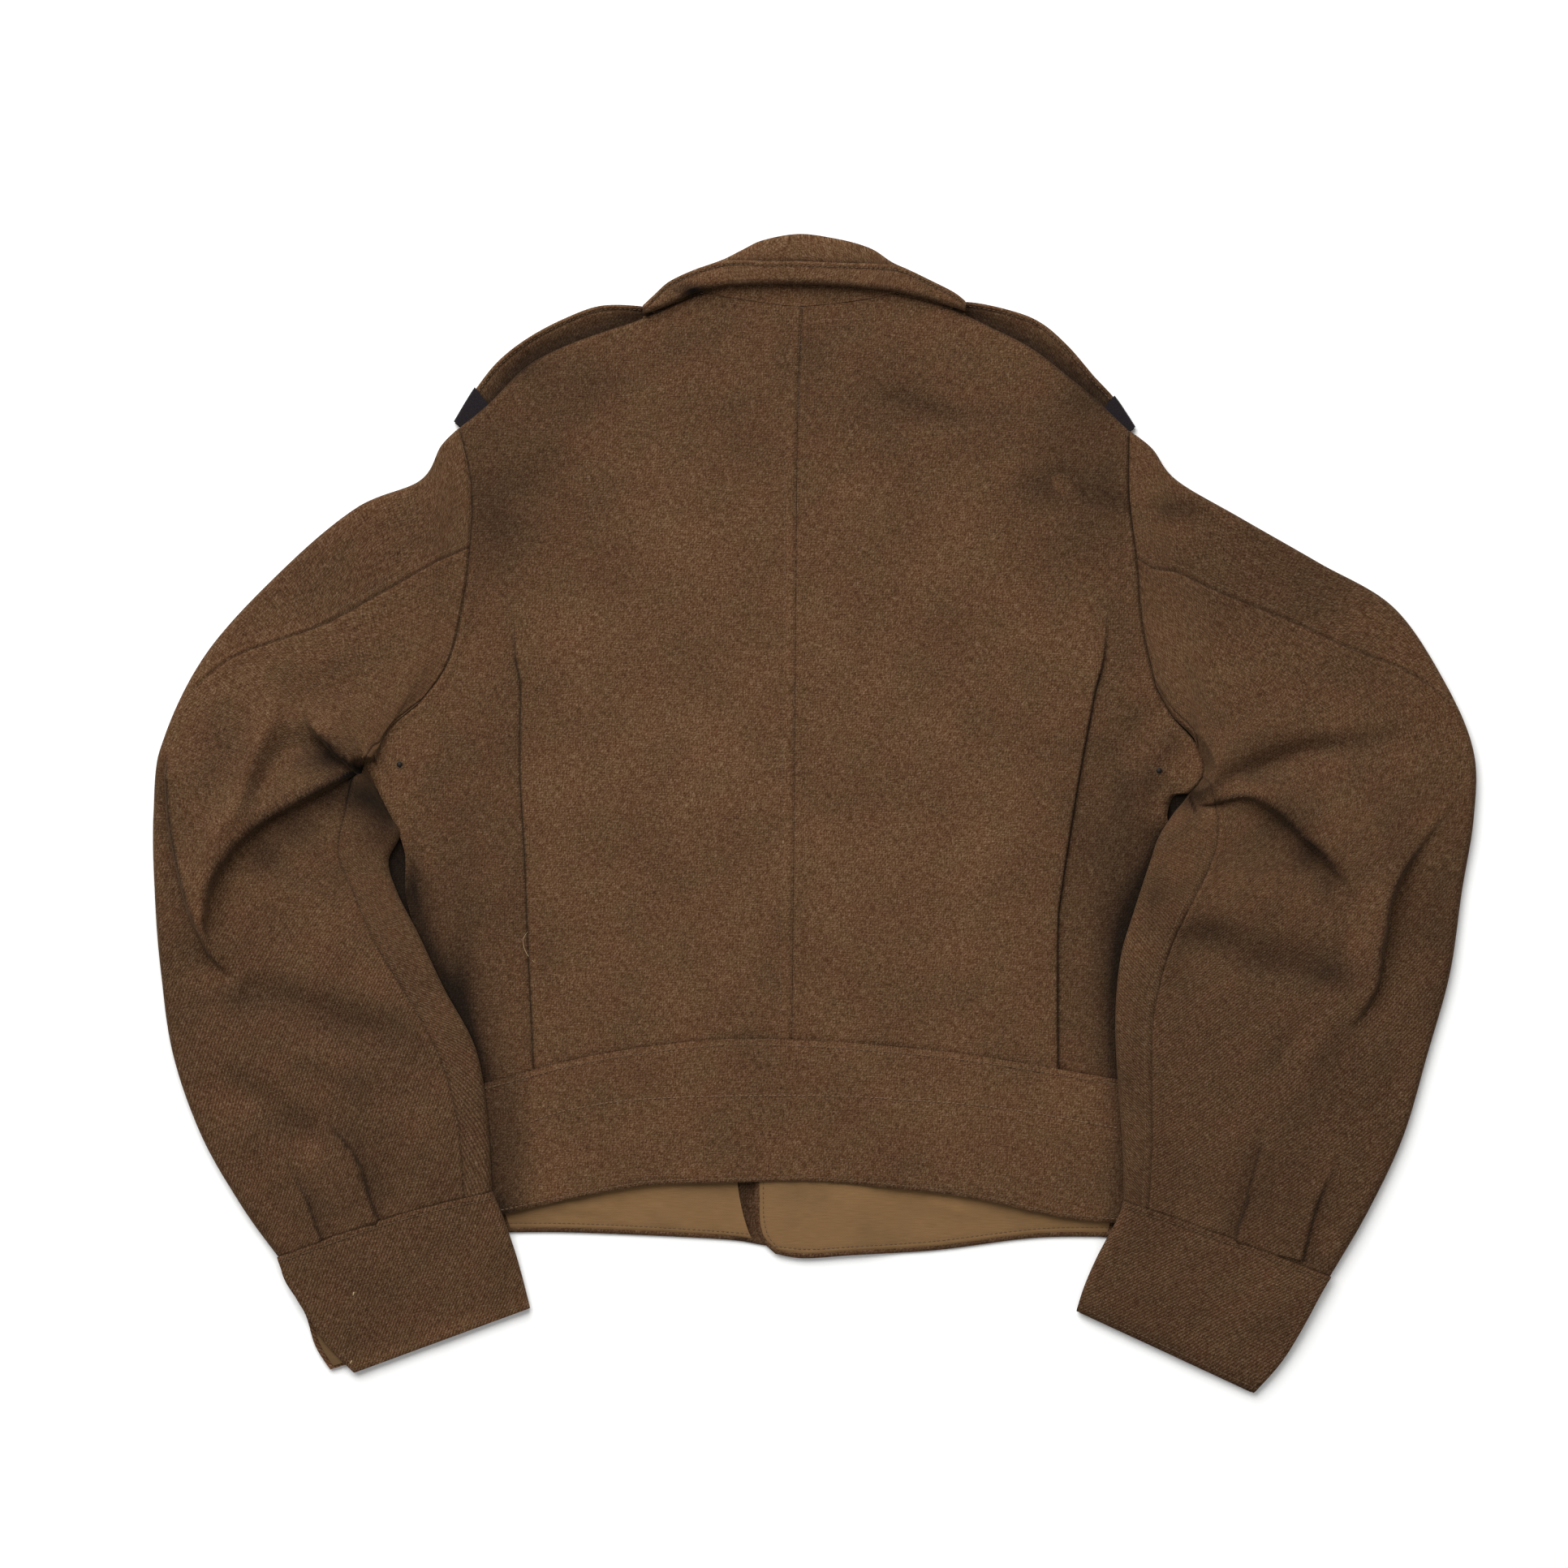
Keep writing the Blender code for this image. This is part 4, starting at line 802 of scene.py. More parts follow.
front = {
    "pitch": 6.0, "columns": 44, "tuck": 9.0, "neckTuck": 8.0, "edge": {"left": 12.0, "right": -34.0},
    "levels": (262, 225, 40), "waist": -186, "lumps": ((0.12, 45, 31),), "sleeveShadow": (0.9, 24, 14),
    # lifted over the strap beneath, and the right one over the left
    "strapLift": 5.5, "liftFade": (95, 50), "liftFrom": (27, 49), "liftMiddle": -11, "lap": (62, 26),
}


def frontBase(side, points):
    ridge = beside(shoulder[side], points)[0]
    beyond = (front["liftMiddle"] - points[..., 0]) * flip[side]
    lift = front["strapLift"] * ease(*front["liftFade"], np.abs(ridge)) * ease(*front["liftFrom"], beyond)
    if side == "right":
        lift = np.maximum(lift, (cloth["serge"] + cloth["seam"]) * ease(*front["lap"], points[..., 0]))
    return lift


def frontHalf(side):
    edge, run, tip, pit, _ = bodyEdge(side, frontSide, front["pitch"], front["tuck"], front["neckTuck"],
                                      front["tuck"])
    waist = front["waist"] + cloth["seam"]
    edge[-1, 1] = waist
    level = np.interp(run, [0, tip, pit, run[-1]], [*front["levels"], waist])
    centre = np.stack([np.full(len(run), front["edge"][side]), level], -1)
    plan = patch(edge, centre, lambda w: share(frontNeck[side], w), lambda w: blend(edge[-1], centre[-1], w),
                 np.linspace(0, 1, front["columns"])[None])
    under = lifted(plan, frontBase(side, plan))
    over = under + [0, 0, cloth["serge"]]
    over[..., 2] += uneven(plan, front["lumps"])
    sew("front_" + side, over, under, tone=1 - shadow(fromEdge(over, "near"), *front["sleeveShadow"]))


for hand in flip:
    frontHalf(hand)
print("fronts laid")


# Waistband: wool back and fronts, tan drill inside the fronts

band = {
    "backGrid": (42, 175), "frontGrid": (46, 100), "liningColumns": 96, "topStitch": 4.2, "hemStitch": 3.2,
    "tuck": (13.0, 14), "frontTuck": (5.0, 8),   # hidden ends: length and how suddenly they start
    "lumps": ((0.25, 60, 41), (0.08, 16, 42)), "sideDrop": 4.5, "sideReach": 16,
    "leastThick": 0.8, "tone": 1.06,
    "topPressed": (("first", 1.3, 0, 1.1), ("first", 0.5, 4.2, 1.0), ("first", -0.35, 1.8, 1.2)),
    "middleGroove": ((-0.45, 0, 1.2), (0.15, 4, 3), (0.15, -4, 3)), "middleTone": ((0.10, 0, 0.9),),
    "hemPressed": (("last", 0.4, 3.2, 1.1), ("last", 1.4, 0, 1.4)),
    "puckers": (("first", 0.22, 10, 15, 43), ("last", 0.28, 9, 18, 44)),
    "topTone": ((0.16, 0, 1.2),), "hemTone": ((0.05, 0, 2.0),), "sideShadow": (0.5, 13, 7),
    "sleeveShade": ((0.40, -202, 13),), "lapShade": ((0.5, -48, 9),),   # across the width
    "middle": ((-190, -204), (-164, -196), (-110, -188.5), (-2, -186.5), (78, -190.5), (132, -196),
               (200, -208)),
    "outer": {"left": ((-216, -186), (-213, -222), (-211, -250), (-201, -278)),
              "right": ((196.5, -186), (199, -222), (200, -250), (192, -281))},
    "inner": {"left": ((12, -186), (12, -290)),
              "right": ((-40, -186), (-41, -225), (-41, -256), (-40, -271), (-36, -283), (-27, -292))},
    "hem": {"left": ((-201, -278), (-165, -278), (-111, -280), (-57, -283), (-30, -287), (12, -290)),
            "right": ((192, -281), (159, -281), (132, -283), (78, -290), (24, -293), (-8, -295),
                      (-27, -292))},
    "lap": (62, 24), "rimProfile": ((-0.7, 0, 1.2), (0.9, 2.2, 1.5)), "rimTone": 0.92,
    "rimFade": ((0.08, 0, 2),),
}
lining = {
    "from": 0.02, "to": {"left": 0.70, "right": 0.988}, "rim": 3.0, "raised": 3.0, "gap": 0.1, "stitch": 3.4,
    "edges": {"left": ("last",), "right": ("last", "far")}, "soft": ((0.25, 40, 51),), "softFrom": (0, 14),
    "lumps": ((0.05, 9, 52),), "edgeProfile": ((0.55, 0, 1.0), (0.3, 3.4, 0.9)),
    "edgeTone": ((0.18, 0, 1.2), (0.08, 3.4, 0.8)),
    # painted light below the back's hem and painted shade beside the left sleeve
    "paintedShadingAndFading": ((-125, -247, 50, 7, 0.18), (95, -252, 50, 7, 0.18), (-200, -258, 14, 20, -0.30)),
    "folds": (
        Ridge(0.9, 3.5, 0.3, 0.4, ((-180, -258), (-158, -262), (-128, -264))),
        Ridge(0.7, 4, 0.3, 0.4, ((-120, -256), (-100, -268), (-92, -276))),
        Ridge(0.8, 4, 0.3, 0.4, ((70, -256), (88, -262), (120, -268))),
    ),
}


def waistbandBack():
    rows, columns = band["backGrid"]
    left, right = [share(bandEnd[side], np.linspace(0, 1, rows)) for side in flip]
    across = np.linspace(0, 1, columns)
    plan = patch(left, right, lambda w: share(bandSeam, w), lambda w: share(bandHem, w), across[None])
    tuck, power = band["tuck"]
    plan[..., 0] += tuck * (across ** power - (1 - across) ** power)
    over = lifted(plan, bandTop)
    over[..., 2] += uneven(plan, band["lumps"])
    side = np.minimum(fromEdge(over, "near"), fromEdge(over, "far"))
    over[..., 2] -= band["sideDrop"] * rolledDown(side, band["sideReach"])
    press(over, band["topPressed"])
    off = beside(band["middle"], plan)[0]
    over[..., 2] += profile(off, band["middleGroove"])
    press(over, band["hemPressed"])
    pucker(over, band["puckers"])
    tone = band["tone"] - profile(fromEdge(over, "first"), band["topTone"]) - profile(off, band["middleTone"])
    tone = tone + profile(fromEdge(over, "last"), band["hemTone"]) - shadow(side, *band["sideShadow"])
    tone = tone - profile(plan[..., 0], band["sleeveShade"])
    under = lifted(over[..., :2], np.minimum(bandTop - cloth["doubled"], over[..., 2] - band["leastThick"]))
    sew("waistband_back", over, under, tone=tone)


def frontBandPlan(side, across, down):
    outer, inner = share(band["outer"][side], down), share(band["inner"][side], down)
    plan = patch(outer, inner, lambda w: blend(outer[0], inner[0], w),
                 lambda w: share(band["hem"][side], w), across[None])
    tuck, power = band["frontTuck"]
    return plan - [flip[side] * tuck, 0] * (1 - across)[None, :, None] ** power


def frontBandBase(side, plan):
    if side == "left":
        return np.zeros(plan.shape[:2])
    return (cloth["serge"] + cloth["seam"]) * ease(*band["lap"], plan[..., 0])


def waistbandFront(side):
    rows, columns = band["frontGrid"]
    down = np.linspace(0, 1, rows)
    plan = frontBandPlan(side, np.linspace(0, 1, columns), down)
    under = lifted(plan, frontBandBase(side, plan))
    over = under + [0, 0, cloth["serge"]]
    rim = np.minimum(fromEdge(over, "last"), fromEdge(over, "far"))
    over[..., 2] += profile(rim, band["rimProfile"])
    tone = band["rimTone"] + profile(rim, band["rimFade"]) - profile(plan[..., 0], band["lapShade"])
    sew("waistband_front_" + side, over, under, tone=tone)
    inside = frontBandPlan(side, np.linspace(lining["from"], lining["to"][side], band["liningColumns"]), down)
    inside[..., 1] += (lining["rim"] * down - lining["raised"] * (1 - down))[:, None]
    base = lifted(inside, frontBandBase(side, inside) + cloth["serge"] + lining["gap"])
    top = base + [0, 0, cloth["drill"]]
    away = ease(*lining["softFrom"], fromEdge(top, "last"))
    top[..., 2] += uneven(inside, lining["soft"]) * away + uneven(inside, lining["lumps"])
    for fold in lining["folds"]:
        top[..., 2] += foldShape(fold, inside)[0]
    edgeRun = np.min([fromEdge(top, edge) for edge in lining["edges"][side]], 0)
    top[..., 2] -= profile(edgeRun, lining["edgeProfile"])
    tone = 1 - profile(edgeRun, lining["edgeTone"]) + patches(inside, lining["paintedShadingAndFading"])
    sew("waistband_lining_" + side, top, base, "tan_drill", tone=tone)


waistbandBack()
for hand in flip:
    waistbandFront(hand)
print("waistband laid")


# Collar: stand, roll, fall, and the fall's edge turned up

collar = {
    "bend": 2.5, "stand": 9.0, "edgeStitch": 3.4, "sections": 120, "swing": 75,
    "fallBow": 0.9, "edgeSink": 0.8, "leastStand": 1.0, "leastFall": 0.1, "leastEdge": 1.5,
    "columns": {"stand": 14, "roll": 9, "fall": 12, "fold": 9, "edge": 12},
    "lumps": ((0.3, 34, 61), (0.1, 12, 62)), "edgeProfile": ((-0.9, 3.4, 0.9), (-0.5, 0, 0.9)),
    "edgeSwell": ((0.5, 1.6, 1.0),), "tone": 0.93, "edgeTone": ((0.06, 0, 1.6), (-0.25, 3.4, 0.8)),
    # crown: painted light on the collar's upper roll; fallShade and foldShade: painted shade under the
    # turned-up edge and in the fold
    "fallShade": (0.4, 2.0), "foldShade": 0.15, "crown": (0.18, 366, 380),
    "corner": (0.8, (-82, 11), (347, 5)),   # shade of the lifted corner on the left
    # x, neck seam, roll, fold and free edge across the collar, and how far it drops
    "cuts": (
        (-115, 328, 338, 331.5, 336, 3.8), (-108, 331, 344.5, 333.5, 343, 3.4),
        (-97, 336, 354, 338, 353, 2.4), (-80, 342, 361.5, 345.5, 360.8, 0.8),
        (-62, 344, 368, 350, 366, 0.0), (-48, 341, 375, 350.5, 367, 0.0),
        (-35, 340, 381, 351, 366, 0.0), (-11, 337.5, 385, 351, 366, 0.0),
        (15, 338.5, 381.5, 350, 365, 0.0), (36, 343.5, 375.5, 348, 364.5, 0.0),
        (50, 343, 366.5, 346.5, 363.5, 0.3), (60, 342, 362, 344.5, 361, 1.0),
        (75, 338, 355, 341, 354, 2.4), (91, 332, 347, 336, 346, 3.4),
        (99, 330, 341, 333.5, 339, 3.8),
    ),
    "endGrid": (40, 16), "endReach": 5 / 7, "endGap": 0.5, "endProfile": ((0.6, 0, 1.2), (0.3, 3.4, 1.0)),
    "endEdge": {
        "left": ((-52, 352), (-40, 322), (-26, 303), (-12, 290)),
        "right": ((30, 352), (20, 322), (8, 303), (-6, 290)),
    },
}


def collarPath(cut):
    # points across one section with the cloth's normals: stand, roll, fall, fold and turned-up edge
    half, bend, columns = cloth["collar"] / 2, collar["bend"], collar["columns"]
    low = collar["stand"] - cut.drop
    roll, fold = cut.roll - half - bend, cut.fold + half + bend
    neck = alongX(neckLine, cut.x) if neckLine[0][0] < cut.x < neckLine[-1][0] else cut.neck
    start = min(neck + cloth["seam"], roll - collar["leastStand"])
    flat, edge = max(roll, fold + collar["leastFall"]), max(cut.edge, fold + collar["leastEdge"])
    path = [(start * (1 - t) + roll * t, low, 0, 1) for t in np.linspace(0, 1, columns["stand"])]
    for angle in np.radians(np.linspace(-collar["swing"], collar["swing"], columns["roll"])):
        c, s = math.cos(angle), math.sin(angle)
        path.append((roll + bend * c, low + bend * (1 + s), -c, -s))
    for t in np.linspace(0, 1, columns["fall"]):
        bow = collar["fallBow"] * math.sin(math.pi * t)
        path.append((flat * (1 - t) + fold * t, low + 2 * bend + bow, 0, -1))
    for angle in np.radians(np.linspace(180 + collar["swing"], 180 - collar["swing"], columns["fold"])):
        c, s = math.cos(angle), math.sin(angle)
        path.append((fold + bend * c, low + bend * (3 + s), c, s))
    for t in np.linspace(0, 1, columns["edge"]):
        path.append((fold * (1 - t) + edge * t, low + 4 * bend - collar["edgeSink"] * t, 0, 1))
    return np.array(path)


def collarBack():
    cuts = through(collar["cuts"], np.linspace(0, len(collar["cuts"]) - 1, collar["sections"]))
    path = np.array([collarPath(CollarSection(*cut)) for cut in cuts])
    x = np.broadcast_to(cuts[:, None, :1], path.shape[:2] + (1,))
    outside, inside = [np.concatenate([x, path[..., :2] + half * path[..., 2:]], -1)
                       for half in (cloth["collar"] / 2, -cloth["collar"] / 2)]
    wave = uneven(outside[..., :2], collar["lumps"])
    outside[..., 2] += wave
    inside[..., 2] += wave
    fromFree = fromEdge(outside, "far")
    outside[..., 2] += profile(fromFree, collar["edgeProfile"])
    tone = collar["tone"] + profile(fromFree, collar["edgeTone"])
    _, roll, fall, fold, _ = np.cumsum(list(collar["columns"].values()))
    behind = outside[:, roll:fall, 1] - outside[:, -1:, 1]
    amount, width = collar["fallShade"]
    tone[:, roll:fall] -= amount * bell(np.maximum(behind, 0), width)
    tone[:, fall:fold] -= collar["foldShade"]
    # painted light on the collar's upper roll
    amount, *crown = collar["crown"]
    tone += amount * ease(*crown, outside[..., 1])
    amount, (x, wide), (y, tall) = collar["corner"]
    tone -= amount * bell(outside[..., 0] - x, wide) * bell(outside[..., 1] - y, tall)
    outside[..., 2] += profile(fromFree, collar["edgeSwell"])
    grain = np.stack([outside[..., 0], fromEdge(outside, "near")], -1)
    sew("collar_back", outside, inside, grain=grain, tone=tone)


def collarEnd(side):
    rows, columns = collar["endGrid"]
    along = np.linspace(0, collar["endReach"], rows)
    neck = offsetCurve(lambda a: share(frontNeck[side], a), along, -collar["endGap"] * flip[side])
    edge = share(collar["endEdge"][side], np.linspace(0, 1, rows))
    under = lifted(blend(neck[:, None], edge[:, None], np.linspace(0, 1, columns)[None]), 0.0)
    over = under + [0, 0, cloth["collar"]]
    over[..., 2] -= profile(fromEdge(over, "far"), collar["endProfile"])
    sew("collar_front_" + side, over, under)


collarBack()
for hand in flip:
    collarEnd(hand)
print("collar rolled")


# Shoulder straps and the black slides on their ends

strap = {
    "grid": (110, 36), "crowd": 1.6, "edgeStitch": 3.6, "standFade": (6.0, 4.4),
    "shares": (0.0, 0.3, 0.55, 0.75, 0.9, 1.0), "rises": (0.0, 0.0, 0.0, 1.2, 4.6, 6.0),
    "edgeProfile": ((0.6, 1.7, 1.3), (-0.6, 0, 0.8), (-0.9, 3.6, 0.9)), "lumps": ((0.12, 22, 71),),
    "tone": 0.95, "edgeTone": ((-0.25, 3.6, 0.8), (0.05, 1.5, 1.2), (0.12, 0, 2.0)),
    # painted shade beside the shoulder ridge
    "ridgeShade": ((0.70, 0, 9),),
    "slideFrom": 6.0, "slideTo": 6.97, "slideGrid": (22, 18), "slideTurn": 9, "slideEase": 0.4,
    "slideLumps": ((0.06, 6, 72),),
    # outer edge, then hidden edge, at each section from the collar outward
    "left": ((-101, 334, -90, 306), (-119, 337.5, -106, 304), (-143, 337.5, -128, 297),
             (-165, 330, -150, 288), (-190, 317, -171, 277),
             (-211, 301, -187, 263), (-226, 283, -199, 249), (-240, 260, -214, 238)),
    "right": ((83, 336, 74, 308), (100, 340, 90, 305), (127, 335, 110, 298), (148, 327, 131, 289),
              (166, 312, 148, 275),
              (184, 291.5, 161, 259), (197.5, 277.5, 170, 247), (211.5, 256.5, 186, 236)),
}


def strapPoints(side, places, across):
    rows = through(strap[side], places)
    plan = blend(rows[:, None, 2:], rows[:, None, :2], across[None])
    stand = np.interp(across, strap["shares"], strap["rises"])[None]
    stand = stand * ease(*strap["standFade"], places)[:, None]
    return lifted(plan, stand + cloth["slide"] + cloth["seam"])


def shoulderStrap(side):
    rows, columns = strap["grid"]
    places = np.linspace(0, len(strap[side]) - 1, rows)
    under = strapPoints(side, places, 1 - np.linspace(1, 0, columns) ** strap["crowd"])
    over = under + [0, 0, cloth["doubled"]]
    free = fromEdge(over, "far")
    over[..., 2] += profile(free, strap["edgeProfile"])
    over[..., 2] += uneven(over[..., :2], strap["lumps"])
    tone = strap["tone"] + profile(free, strap["edgeTone"])
    # painted shade in the crevice where the strap meets the shoulder
    tone = tone - profile(beside(shoulder[side], over[..., :2])[0], strap["ridgeShade"])
    sew("shoulder_strap_" + side, over, under, grain=grainOf(over), tone=tone)


def strapSlide(side):
    rows, columns = strap["slideGrid"]
    places = np.linspace(strap["slideFrom"], strap["slideTo"], rows)
    under = strapPoints(side, places, np.linspace(0, 1, columns))
    over = under + [0, 0, cloth["doubled"]]
    reach = (under[:, -1] - under[:, 0]) * [1, 1, 0]
    reach = (reach / np.linalg.norm(reach, axis=1, keepdims=True))[:, None]
    swing = np.radians(np.linspace(-90, 90, strap["slideTurn"])[1:-1])[None, :, None]
    loops = []
    for gap in (cloth["seam"] + cloth["slide"], cloth["seam"]):
        rise = 0.5 * (cloth["doubled"] + 2 * gap)
        ends = []
        for corner, way in ((under[:, -1:], 1), (under[:, :1], -1)):
            middleUp = corner + [0, 0, cloth["doubled"] / 2]
            bow = middleUp + way * reach * (gap + strap["slideEase"]) * np.cos(swing)
            ends.append((bow + np.array([0, 0, 1.0]) * rise * np.sin(swing))[:, ::way])
        low, high = under - [0, 0, gap], over + [0, 0, gap]
        loops.append(np.concatenate([low, ends[0], high[:, ::-1], ends[1]], 1))
    outside, inside = loops
    outside[..., 2] += uneven(outside[..., :2], strap["slideLumps"])
    rows, columns = outside.shape[:2]
    count = rows * columns
    at = np.arange(count).reshape(rows, columns)
    beyond = np.roll(at, -1, 1)
    around = np.stack([at[:-1], beyond[:-1], beyond[1:], at[1:]], -1).reshape(-1, 4)
    ends = [np.stack([at[i], beyond[i], beyond[i] + count, at[i] + count], -1) for i in (0, -1)]
    quads = np.concatenate([around, around[:, ::-1] + count] + ends)
    points = np.concatenate([outside.reshape(-1, 3), inside.reshape(-1, 3)])
    uv = np.tile(grainOf(outside).reshape(-1, 2), (2, 1))
    name = "strap_slide_" + side
    piece = toMesh(name, points, quads, finishes["black_cloth"], uv)
    lay(piece, name, outside)


for hand in flip:
    shoulderStrap(hand)
    strapSlide(hand)
print("straps and slides laid")


# Sleeves: an under sleeve on top as the jacket lies, a top sleeve that runs round the hidden side

